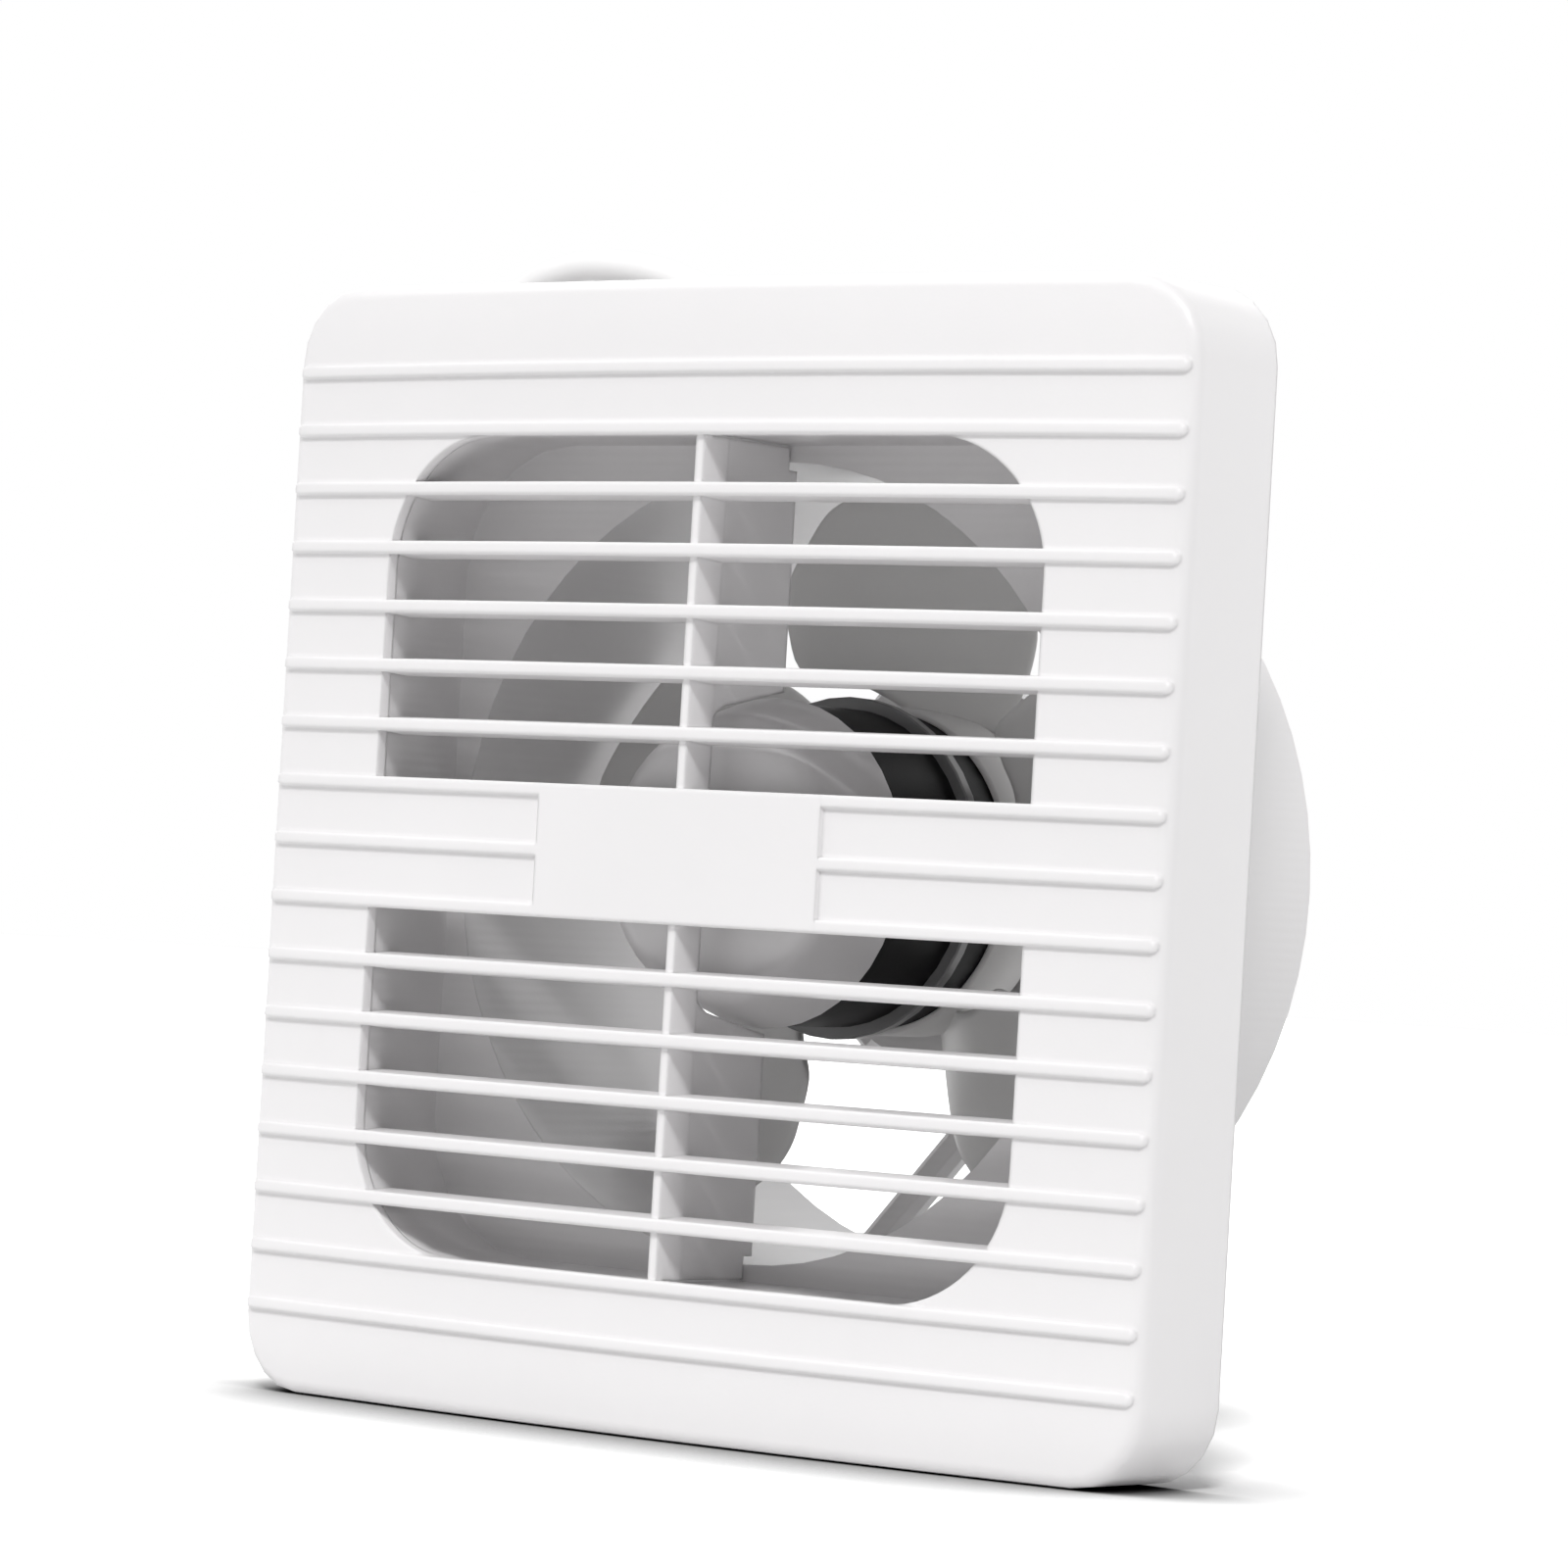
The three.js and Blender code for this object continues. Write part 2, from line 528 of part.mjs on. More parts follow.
// ---------------------------------------------------------------- impeller and rotor
function blade(crest) {
  const columns = [0, 0.05, 0.35, 0.65, 0.95, 1];
  const front = [];
  const rear = [];
  const root = CAN_R + SEAT + RING_WALL / 2;
  for (const [share, lead, trail] of BLADE_OUTLINE) {
    const radius = root + (TUBE_IN - TIP_GAP - root) * share;
    const thick = BLADE_ROOT + (BLADE_TIP - BLADE_ROOT) * share;
    for (const u of columns) {
      const turn = lead + u * (trail - lead);
      const slope = Math.atan((BLADE_RISE + 2 * BLADE_CAMBER * turn) / (radius * rad(1)));
      const thin = u === 0 || u === 1 ? 0.4 : 1;
      const half = thick * thin / 2 / Math.cos(slope);
      const angle = rad(crest - turn);
      const [x, z] = [radius * Math.cos(angle), radius * Math.sin(angle)];
      const y = BLADE_CREST_Y + BLADE_RISE * turn + BLADE_CAMBER * turn * turn;
      front.push(new THREE.Vector3(x, y - half, z));
      rear.push(new THREE.Vector3(x, y + half, z));
    }
  }
  const [rows, wide, back] = [BLADE_OUTLINE.length, columns.length, front.length];
  const at = (i, j) => i * wide + j;
  const index = [];
  const side = (a, b) => index.push(b, a, a + back, b, a + back, b + back);
  for (let i = 0; i + 1 < rows; i += 1) {
    for (let j = 0; j + 1 < wide; j += 1) {
      const [a, b, c, d] = [at(i, j), at(i + 1, j), at(i + 1, j + 1), at(i, j + 1)];
      index.push(a, b, c, a, c, d);
      index.push(back + a, back + c, back + b, back + a, back + d, back + c);
    }
    side(at(i, 0), at(i + 1, 0));
    side(at(i + 1, wide - 1), at(i, wide - 1));
  }
  for (let j = 0; j + 1 < wide; j += 1) {
    side(at(0, j + 1), at(0, j));
    side(at(rows - 1, j), at(rows - 1, j + 1));
  }
  return new THREE.BufferGeometry().setFromPoints([...front, ...rear]).setIndex(index);
}

function impeller() {
  const bore = CAN_R + SEAT;
  const [outer, rear] = [bore + RING_WALL, CAN_REAR + 2.5];
  const ring = turned([
    [bore, RING_FRONT], [outer - 0.3, RING_FRONT], [outer, RING_FRONT + 0.3], [outer, rear],
    [bore, rear], [bore, RING_FRONT],
  ]);
  const blades = [];
  for (let k = 0; k < BLADES; k += 1) blades.push(blade(BLADE_CREST - k * 360 / BLADES));
  return surface(join(solid(ring), blades));
}

function hubCap() {
  const inner = 1.5;
  const shoulder = [0, 19, 38, 57, 76].map((degrees) => [
    CAP_R - CAP_ROUND * (1 - Math.sin(rad(degrees))),
    CAP_FRONT + CAP_ROUND * (1 - Math.cos(rad(degrees))),
  ]);
  return turned([
    [0, CAP_FRONT], ...shoulder, [CAP_RIM_R, CAP_RIM_Y - 0.6], [CAP_RIM_R, CAP_RIM_Y],
    [CAP_RIM_R - inner, CAP_RIM_Y], [CAP_R - 0.3 - inner, CAP_FRONT + CAP_ROUND],
    [CAP_R - CAP_ROUND, CAP_FRONT + 1.8], [6, CAP_FRONT + 1.8], [6, CAN_FRONT],
    [SHAFT_R + SEAT, CAN_FRONT], [SHAFT_R + SEAT, CAP_BORE], [0, CAP_BORE],
  ]);
}

function rotorCan() {
  const [bead, beadRear] = [CAN_R + BEAD_PROUD, BEAD_FRONT + BEAD_WIDTH];
  return turned([
    [SHAFT_R + SEAT, CAN_FRONT], [CAN_R - 0.6, CAN_FRONT], [CAN_R, CAN_FRONT + 0.6],
    [CAN_R, BEAD_FRONT], [bead - 0.3, BEAD_FRONT], [bead, BEAD_FRONT + 0.3],
    [bead, beadRear - 0.3], [bead - 0.3, beadRear], [CAN_R, beadRear],
    [CAN_R, CAN_REAR], [CAN_R - CAN_WALL, CAN_REAR], [CAN_R - CAN_WALL, CAN_FRONT + 1.8],
    [7, CAN_FRONT + 1.8], [7, BOSS_REAR], [SHAFT_R + SEAT, BOSS_REAR], [SHAFT_R + SEAT, CAN_FRONT],
  ]);
}

const rotorRing = () => (
  hoop(STATOR_R + 0.4, CAN_R - CAN_WALL - SEAT, STATOR_FRONT - 2, STATOR_REAR + 2)
);
const shaft = () => rodY(SHAFT_R, CAP_BORE + SLIP, CLIP_Y + 1.5, 0, 0, SMALL);
const shaftClip = () => hoop(SHAFT_R + SEAT, BUSH_R - 0.4, CLIP_Y, CLIP_Y + 0.8, SMALL);
const thrustWasher = () => hoop(SHAFT_R + SEAT, 6, BOSS_REAR, BOSS_REAR + 1.2, SMALL);

// ---------------------------------------------------------------- stator
function statorFlange() {
  const bore = BUSH_R + SEAT;
  const rim = FLANGE_R - FLANGE_WALL;
  const inner = STRUT_Y - FLANGE_PLATE;
  const body = turned([
    [bore, FRONT_BUSH], [BEARING_R, FRONT_BUSH], [BEARING_R, inner], [rim, inner],
    [rim, FLANGE_LIP_Y], [FLANGE_R, FLANGE_LIP_Y], [FLANGE_R, STRUT_Y],
    [bore, STRUT_Y], [bore, FRONT_BUSH],
  ]);
  const threads = motorScrewPlaces.map(([x, z]) => (
    rodY(MOTOR_SCREW_R + SEAT, inner - 1, STRUT_Y + 3, x, z, 12)
  ));
  return surface(cut(solid(body), threads));
}

const POLE = 7;
const POLES = 4;

function statorCore() {
  const ring = hoop(BEARING_R + SEAT, 10.2, STATOR_FRONT, STATOR_REAR);
  const rim = hoop(18.8, STATOR_R, STATOR_FRONT, STATOR_REAR);
  const slots = [];
  const arms = [];
  for (let k = 0; k < POLES; k += 1) {
    const turn = rad(k * 360 / POLES);
    arms.push(block(9, 20, STATOR_FRONT, STATOR_REAR, -POLE / 2, POLE / 2).rotateY(turn));
    const slot = block(17, 24, STATOR_FRONT - 1, STATOR_REAR + 1, -1.2, 1.2);
    slots.push(slot.rotateY(turn + Math.PI / POLES));
  }
  return surface(join(cut(solid(rim), slots), [ring, ...arms]));
}

function windings() {
  const coils = [];
  for (let k = 0; k < POLES; k += 1) {
    const [halfY, halfZ, build] = [(STATOR_REAR - STATOR_FRONT) / 2 + SLIP, POLE / 2 + SLIP, 3.6];
    const shape = new THREE.Shape();
    const corners = [[-1, -1], [1, -1], [1, 1], [-1, 1]];
    corners.forEach(([sy, sz], i) => {
      const start = Math.PI * (1 + i / 2);
      shape.absarc(sy * halfY, sz * halfZ, build, start, start + Math.PI / 2);
    });
    shape.holes.push(polygon(corners.map(([sy, sz]) => [sy * halfY, sz * halfZ]).reverse()));
    const coil = prismX(shape, 10.6, 16.9, 4).translate(0, (STATOR_FRONT + STATOR_REAR) / 2, 0);
    coils.push(coil.rotateY(rad(k * 360 / POLES)));
  }
  return coils;
}

const bush = (y0) => hoop(SHAFT_R + RUN, BUSH_R, y0, y0 + BUSH_LENGTH, SMALL);

// pan-head screws driven from the rear
function screws(places, headY, headR, shankR, length) {
  return places.map(([x, z]) => turned([
    [0, headY + 1.8], [headR - 0.5, headY + 1.8], [headR, headY + 1.2], [headR, headY],
    [shankR, headY], [shankR, headY - length], [0, headY - length],
  ], 12).translate(x, 0, z));
}

// ---------------------------------------------------------------- supply connection
function terminalBlock() {
  const body = block(BLOCK_X0, BLOCK_X1, BOX_PLATE, BLOCK_REAR, boxZ - 6.6, boxZ + 6.6);
  const wells = terminalScrewPlaces.map(([x, z]) => rodY(1.6, BLOCK_REAR - 4, BLOCK_REAR + 1, x, z, 12));
  return surface(cut(solid(body), wells));
}

const terminalScrewPlaces = [-3.2, 3.2].map((dz) => [BLOCK_X0 + 3.6, boxZ + dz]);

function terminalScrews() {
  return terminalScrewPlaces.map(([x, z]) => rodY(1.5, BLOCK_REAR - 4, BLOCK_REAR - 0.8, x, z, 12));
}

function boxLid() {
  const half = BOX_HALF;
  const lid = block(BOX_X0, BOX_X1, BOX_REAR, BOX_REAR + LID, boxZ - half, boxZ + half);
  const lip = block(BOX_X0 + BOX_WALL + SLIP, BOX_X0 + BOX_WALL + SLIP + 1.4, BOX_REAR - 3,
    BOX_REAR + 0.5, boxZ - 6, boxZ + 6);
  const holes = [-LID_SCREW_Z, LID_SCREW_Z].map((dz) => rodY(1.5, 40, 50, LID_SCREW_X, boxZ + dz, 12));
  const entry = rodY(MOTOR_LEAD_R + SLIP, 40, 50, motorLeadEntry.x, motorLeadEntry.y, 20);
  return surface(cut(join(solid(lid), [lip]), [...holes, entry]));
}

function cordClamp() {
  const bar = block(CLAMP_X - 2.5, CLAMP_X + 2.5, CLAMP_Y, CLAMP_Y + CLAMP_BAR, boxZ - 7.4, boxZ + 7.4);
  const holes = [-CLAMP_Z, CLAMP_Z].map((dz) => rodY(1.3, CLAMP_Y - 3, CLAMP_Y + 6, CLAMP_X, boxZ + dz, 12));
  return surface(cut(solid(bar), holes));
}

// the motor's lead: from the flange along the strut, through the tube wall, to the box
const MOTOR_LEAD_BEND = 12;
const outOfTube = strutFoot.clone().addScaledVector(strutRun, TUBE_IN - 2.5);
const motorLeadEntry = new THREE.Vector2(BLOCK_X0 + 5.7, outOfTube.y + 9);

function motorLead() {
  const points = [];
  const start = rad(100);
  for (const radius of [FLANGE_R + 0.3, FLANGE_R + 3, FLANGE_R + 6]) {
    points.push([radius * Math.cos(start), MOTOR_LEAD_Y, radius * Math.sin(start)]);
  }
  for (const back of [26, 16, 6, 0]) {
    const at = outOfTube.clone().addScaledVector(strutRun, -back);
    points.push([at.x, MOTOR_LEAD_Y, at.y]);
  }
  const turnX = motorLeadEntry.x - MOTOR_LEAD_BEND;
  points.push([outOfTube.x + 3.4, MOTOR_LEAD_Y, outOfTube.y + 3.7]);
  points.push([(outOfTube.x + turnX) / 2 + 1.2, MOTOR_LEAD_Y, motorLeadEntry.y - 1.9]);
  for (const degrees of [0, 30, 60, 90]) {
    const out = MOTOR_LEAD_BEND * Math.sin(rad(degrees));
    const back = MOTOR_LEAD_BEND * (1 - Math.cos(rad(degrees)));
    points.push([turnX + out, MOTOR_LEAD_Y - back, motorLeadEntry.y]);
  }
  for (const y of [55, 48, 41, BLOCK_REAR + SLIP]) points.push([motorLeadEntry.x, y, motorLeadEntry.y]);
  return tube(points, MOTOR_LEAD_R, 32, 8);
}

// a round tube along points
function tube(points, radius, steps, sides) {
  const path = new THREE.CatmullRomCurve3(points.map((p) => new THREE.Vector3(...p)), false, 'centripetal');
  const corners = [];
  for (let i = 0; i < sides; i += 1) {
    const angle = 2 * Math.PI * i / sides;
    corners.push([radius * Math.cos(angle), radius * Math.sin(angle)]);
  }
  return new THREE.ExtrudeGeometry(polygon(corners), { extrudePath: path, steps, bevelEnabled: false });
}

// ---------------------------------------------------------------- supply cord
const CORD_R = 3.25;
const BOOT_TIP = BOX_X0 - 22;
const FLOOR_Z = CORD_R + 0.3; // cord's centre where it lies on the floor
const COIL_X = -62;
const COIL_Y = 150;
const COIL_R = 5.5 * 2 * CORD_R;
const COIL_TURNS = 3.5;
const COIL_PITCH = 7.2;
const COIL_TOP = FLOOR_Z + COIL_TURNS * COIL_PITCH;
const PLUG_Z = 7.2;
const PLUG_TAIL = 87.5; // plug's cord end
const PLUG_FACE = 50;

// grommet and tapered boot moulded on the cord, with the cord's end inside the box
function strainRelief() {
  const boot = new THREE.LatheGeometry([
    [0, BOOT_TIP], [3.9, BOOT_TIP], [4.3, BOOT_TIP + 2], [6, BOX_X0 - 3], [6.2, BOX_X0],
    [GLAND_R - SEAT, BOX_X0], [GLAND_R - SEAT, BOX_X0 + BOX_WALL], [6.2, BOX_X0 + BOX_WALL],
    [6.2, BOX_X0 + BOX_WALL + 1.7], [CORD_R, BOX_X0 + BOX_WALL + 1.7],
    [CORD_R, BLOCK_X0 - SLIP], [0, BLOCK_X0 - SLIP],
  ].map(([r, x]) => new THREE.Vector2(r, x)), SMALL);
  return boot.rotateZ(-Math.PI / 2).translate(0, LEAD_Y, BOX_Z);
}

// from the boot up over the top edge, down beside the tube and along the floor to the coil
const SIDE_X = 8.5 - HALF; // the cord's line beside the tube
// the arch over the edge: X from that line, Y, and Z from the boot
const ARCH = [
  [83.4, 30.2, 1.2], [76.5, 30.8, 4.4], [70.6, 31.6, 9.7], [64.8, 32.4, 14.9],
  [57.2, 33.6, 18.7], [48, 35.2, 21.3], [38, 36.8, 22.8], [27.5, 38, 23.1],
  [13.8, 39.5, 19.4], [3.8, 40, 9.4], [0.1, 40, -4.4],
];
const CORD_ROUTE = [
  [BOOT_TIP - 0.3, LEAD_Y, BOX_Z], [BOOT_TIP - 3.6, LEAD_Y, BOX_Z], [BOOT_TIP - 7, LEAD_Y, BOX_Z],
  ...ARCH.map(([x, y, z]) => [SIDE_X + x, y, BOX_Z + z]), [SIDE_X - 0.2, 40, 150],
  [SIDE_X - 0.6, 40, 110], [SIDE_X - 1, 40, 70], [SIDE_X - 1.3, 40.7, 45], [SIDE_X - 1.5, 42, 29.8],
  [SIDE_X - 1.7, 44, 19.9], [SIDE_X - 2, 49.6, 11.4], [SIDE_X - 2.3, 58, 5.9],
  [SIDE_X - 2.6, 68.5, FLOOR_Z + 0.1], [SIDE_X - 2.9, 82, FLOOR_Z], [SIDE_X - 3.4, 102, FLOOR_Z],
  [COIL_X - COIL_R, 122, FLOOR_Z], [COIL_X - COIL_R, 136.7, FLOOR_Z],
  [COIL_X - COIL_R, COIL_Y - 2 * CORD_R - 0.3, FLOOR_Z],
];
const TAIL_ROUTE = [
  [COIL_X + COIL_R, COIL_Y - 2 * CORD_R - 0.3, COIL_TOP],
  [COIL_X + COIL_R, COIL_Y - 4 * CORD_R, COIL_TOP], [COIL_X + COIL_R, 126, COIL_TOP - 2.2],
  [COIL_X + COIL_R, 116, COIL_TOP - 9.8], [COIL_X + COIL_R, 106, PLUG_Z + 2.6],
  [COIL_X + COIL_R, 95.5, PLUG_Z], [COIL_X + COIL_R, PLUG_TAIL + 0.3, PLUG_Z],
];

// a stack of turns, with a straight stretch of one diameter at both ends
class CoilPath extends THREE.Curve {
  getPoint(t, target = new THREE.Vector3()) {
    const straight = 2 * CORD_R;
    const around = COIL_TURNS * 2 * Math.PI * COIL_R;
    const along = t * (around + 2 * straight) - straight;
    const wound = THREE.MathUtils.clamp(along / around, 0, 1);
    const angle = wound * COIL_TURNS * 2 * Math.PI;
    const over = along < 0 ? along : Math.min(0, around - along);
    return target.set(
      COIL_X - COIL_R * Math.cos(angle),
      COIL_Y + COIL_R * Math.sin(angle) + over,
      FLOOR_Z + COIL_PITCH * COIL_TURNS * wound,
    );
  }
}

function cordCoil() {
  const path = new CoilPath();
  const points = path.getPoints(COIL_TURNS * 96);
  let least = Infinity;
  const apart = 20; // points along the cord before two places count as neighbours
  for (let i = 0; i < points.length; i += 1) {
    for (let j = i + apart; j < points.length; j += 1) {
      least = Math.min(least, points[i].distanceTo(points[j]) - 2 * CORD_R);
    }
  }
  console.log(`coil: least gap to itself ${least.toFixed(2)} mm`);
  const corners = [];
  for (let i = 0; i < 6; i += 1) {
    corners.push([CORD_R * Math.cos(Math.PI * i / 3), CORD_R * Math.sin(Math.PI * i / 3)]);
  }
  const steps = COIL_TURNS * 24 + 2;
  return new THREE.ExtrudeGeometry(polygon(corners), { extrudePath: path, steps, bevelEnabled: false });
}

function cordTie() {
  const [halfY, low, high] = [CORD_R + 0.5, FLOOR_Z - CORD_R + 1, COIL_TOP + CORD_R + 0.6 - COIL_PITCH / 4];
  const far = COIL_Y + COIL_R;
  const outer = polygon([
    [far - halfY - 0.3, low - 0.8], [far + halfY + 0.3, low - 0.8], [far + halfY + 1, low - 0.15],
    [far + halfY + 1, high + 0.3], [far + halfY + 0.3, high + 1], [far - halfY - 0.3, high + 1],
    [far - halfY - 1, high + 0.3], [far - halfY - 1, low - 0.15],
  ]);
  outer.holes.push(polygon([
    [far - halfY, low], [far - halfY, high], [far + halfY, high], [far + halfY, low],
  ]));
  return prismX(outer, COIL_X - 2.2, COIL_X + 2.2);
}

// the plug's sections along Y: [y, half width, half height]
function plugBody() {
  const sections = [
    [PLUG_TAIL, 4.2, 4.2], [PLUG_TAIL - 10, 5, 4.8], [70, 10.5, 6.2], [64, 16.4, 6.7],
    [61, 17.5, 6.8], [PLUG_FACE + 1, 17.5, 6.8], [PLUG_FACE, 16.6, 5.9],
  ];
  const loops = sections.map(([y, halfX, halfZ]) => {
    const loop = [];
    for (let i = 0; i < 20; i += 1) {
      const angle = 2 * Math.PI * i / 20;
      const [c, s] = [Math.cos(angle), Math.sin(angle)];
      const x = COIL_X + COIL_R + halfX * Math.sign(c) * Math.abs(c) ** 0.6;
      loop.push(new THREE.Vector3(x, y, PLUG_Z + halfZ * Math.sign(s) * Math.abs(s) ** 0.6));
    }
    return loop;
  });
  return loft(loops, false);
}

function plugPins() {
  return [-9.3, 9.3].map((side) => turned([
    [0, PLUG_FACE], [2, PLUG_FACE], [2, PLUG_FACE - 18.2], [1.2, PLUG_FACE - 19],
    [0, PLUG_FACE - 19],
  ], 20).translate(COIL_X + COIL_R + side, 0, PLUG_Z));
}

// ---------------------------------------------------------------- the assembly
const group = new THREE.Group();
group.name = 'window_exhaust_fan';

function place(name, geometry, color, roughness, metalness, lift = AXIS_Z) {
  const ready = closed(geometry).translate(0, 0, lift);
  ready.computeVertexNormals();
  const mesh = new THREE.Mesh(ready, new THREE.MeshStandardMaterial({ color, roughness, metalness }));
  mesh.name = name;
  group.add(mesh);
}

// pieces of one kind, numbered from 1
function placeEach(name, geometries, ...look) {
  geometries.forEach((geometry, i) => place(`${name}_${i + 1}`, geometry, ...look));
}

const WHITE = 0xf1f0ef;
const STEEL = 0xa9abad;

place('front_cover', frontCover(), WHITE, 0.32, 0);
place('housing', housing(), 0xf0efee, 0.36, 0);
place('impeller', impeller(), 0xeeeeee, 0.38, 0);
place('hub_cap', hubCap(), WHITE, 0.3, 0);
place('rotor_can', rotorCan(), 0x1c1b1d, 0.35, 0.2);
place('rotor_ring', rotorRing(), 0x55575a, 0.5, 0.8);
place('shaft', shaft(), 0xb9bbbe, 0.2, 1);
place('shaft_clip', shaftClip(), STEEL, 0.4, 1);
place('thrust_washer', thrustWasher(), 0x3a3a3c, 0.6, 0);
place('stator_flange', statorFlange(), 0x9a9b9d, 0.45, 0.6);
place('stator_core', statorCore(), 0x5b5d60, 0.5, 0.8);
placeEach('winding', windings(), 0xb06a35, 0.45, 0.5);
place('front_bush', bush(FRONT_BUSH), 0xb59a5b, 0.45, 0.8);
place('rear_bush', bush(REAR_BUSH), 0xb59a5b, 0.45, 0.8);
const motorScrews = screws(motorScrewPlaces, STRUT_Y + MOTOR_PLATE, 2.8, MOTOR_SCREW_R, 5.4);
placeEach('motor_screw', motorScrews, STEEL, 0.35, 1);
place('motor_lead', motorLead(), 0xe8e7e4, 0.5, 0);
place('terminal_block', terminalBlock(), 0xd9d8d2, 0.5, 0);
placeEach('terminal_screw', terminalScrews(), 0xc2a566, 0.35, 1);
place('box_lid', boxLid(), WHITE, 0.36, 0);
const lidScrewPlaces = [-LID_SCREW_Z, LID_SCREW_Z].map((dz) => [LID_SCREW_X, boxZ + dz]);
placeEach('box_lid_screw', screws(lidScrewPlaces, BOX_REAR + LID, 2.3, 1.2, 8), STEEL, 0.35, 1);
place('cord_clamp', cordClamp(), 0xe4e3df, 0.5, 0);
const clampScrewPlaces = [-CLAMP_Z, CLAMP_Z].map((dz) => [CLAMP_X, boxZ + dz]);
placeEach('cord_clamp_screw', screws(clampScrewPlaces, CLAMP_Y + CLAMP_BAR, 1.8, 1.1, 8), STEEL, 0.35, 1);

place('strain_relief', strainRelief(), 0xe9e8e6, 0.5, 0, 0);
place('power_cord', tube(CORD_ROUTE, CORD_R, 36, 10), WHITE, 0.45, 0, 0);
place('cord_coil', cordCoil(), WHITE, 0.45, 0, 0);
place('plug_cord', tube(TAIL_ROUTE, CORD_R, 10, 10), WHITE, 0.45, 0, 0);
place('cord_tie', cordTie(), 0xd8d8d8, 0.6, 0, 0);
place('plug_body', plugBody(), WHITE, 0.4, 0, 0);
placeEach('plug_pin', plugPins(), 0xc9cacb, 0.25, 1, 0);

export default group;
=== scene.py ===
# %% [markdown]
# # A window exhaust fan in white plastic
#
# The object is a square wall or window fan for a 150 mm duct. A bowed, ribbed cover carries two
# openings crossed by thin bars. Behind it stand a round duct tube, a motor with a black can and a
# five-bladed impeller, and a white supply lead arches up behind the top edge.
#
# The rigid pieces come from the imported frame, in metres, with X to the right, Y into the wall and Z
# up. This script gives every surface its finish and sets the light, the floor and the camera.

# %% Start
import json
import math

import bmesh
import bpy
from mathutils import Matrix, Vector

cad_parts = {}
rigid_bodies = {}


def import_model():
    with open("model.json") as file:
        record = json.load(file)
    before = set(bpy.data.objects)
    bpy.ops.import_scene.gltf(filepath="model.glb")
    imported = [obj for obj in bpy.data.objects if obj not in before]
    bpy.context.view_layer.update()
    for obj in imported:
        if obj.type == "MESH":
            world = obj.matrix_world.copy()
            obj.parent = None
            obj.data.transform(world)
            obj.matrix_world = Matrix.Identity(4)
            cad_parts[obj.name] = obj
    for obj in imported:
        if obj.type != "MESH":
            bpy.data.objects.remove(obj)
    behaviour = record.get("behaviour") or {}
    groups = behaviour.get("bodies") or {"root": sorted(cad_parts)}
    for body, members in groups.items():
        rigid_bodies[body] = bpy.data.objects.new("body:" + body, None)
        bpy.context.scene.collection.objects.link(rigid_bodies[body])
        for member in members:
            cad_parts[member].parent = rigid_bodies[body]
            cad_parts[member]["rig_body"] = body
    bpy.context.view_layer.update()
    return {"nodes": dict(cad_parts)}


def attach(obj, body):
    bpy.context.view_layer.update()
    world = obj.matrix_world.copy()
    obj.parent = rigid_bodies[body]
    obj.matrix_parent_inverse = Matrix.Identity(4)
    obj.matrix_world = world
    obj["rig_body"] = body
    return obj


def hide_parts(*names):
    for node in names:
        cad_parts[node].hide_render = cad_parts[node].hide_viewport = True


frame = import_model()
NODES = frame["nodes"]

# %% [markdown]
# ## Camera
#
# The photograph was taken with a long lens, from the right and about level with the fan's middle,
# with the camera rolled a little. The angles, the distance and the focal length come from fitting
# the panel's edges, ribs and openings and the tube's rim. A pinhole camera with those values puts
# every edge where the photograph has it, so the picture can be compared spot by spot.

# %% Camera
AZIMUTH = math.radians(38.544)
ELEVATION = math.radians(-1.175)
ROLL = math.radians(3.322)
CAMERA_AT = Vector((0.72199, -0.88235, 0.09311))
LENS_MM = 148.07
SENSOR_MM = 36.0


def camera_axes():
    """The camera's right, up and backward directions."""
    level = math.cos(ELEVATION)
    back = Vector((math.sin(AZIMUTH) * level, -math.cos(AZIMUTH) * level, math.sin(ELEVATION)))
    right = (-back).cross(Vector((0, 0, 1))).normalized()
    up = right.cross(-back)
    turned_right = math.cos(ROLL) * right + math.sin(ROLL) * up
    turned_up = math.cos(ROLL) * up - math.sin(ROLL) * right
    return turned_right, turned_up, back


def add_camera():
    data = bpy.data.cameras.new("camera")
    data.lens = LENS_MM
    data.sensor_width = SENSOR_MM
    data.clip_end = 20
    camera = bpy.data.objects.new("camera", data)
    bpy.context.scene.collection.objects.link(camera)
    turn = Matrix(camera_axes()).transposed().to_4x4()
    camera.matrix_world = Matrix.Translation(CAMERA_AT) @ turn
    bpy.context.scene.camera = camera
    return camera


camera = add_camera()
print("camera at", [round(v, 3) for v in camera.location], "lens", LENS_MM)

# %% [markdown]
# ## Smooth faces
#
# Moulded and turned pieces have continuous curves and crisp corners. Each rigid piece gets a copy
# whose facets share their corners and shade smoothly, except across edges that turn by more than 32
# degrees. The shape itself stays as it is. The impeller and the lead have cells of their own.

# %% Smooth faces
CREASE = math.radians(32)
NODE_BODY = {name: o["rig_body"] for name, o in NODES.items()}


def smooth_copy(name):
    """A copy of a node with shared corners and smooth shading, which stands for it."""
    mesh = NODES[name].data.copy()
    work = bmesh.new()
    work.from_mesh(mesh)
    bmesh.ops.remove_doubles(work, verts=work.verts, dist=1e-6)
    for face in work.faces:
        face.smooth = True
    for edge in work.edges:
        edge.smooth = len(edge.link_faces) == 2 and edge.calc_face_angle(0) < CREASE
    work.to_mesh(mesh)
    work.free()
    copy = bpy.data.objects.new(name + "_finish", mesh)
    bpy.context.scene.collection.objects.link(copy)
    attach(copy, NODE_BODY[name])
    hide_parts(name)
    return copy


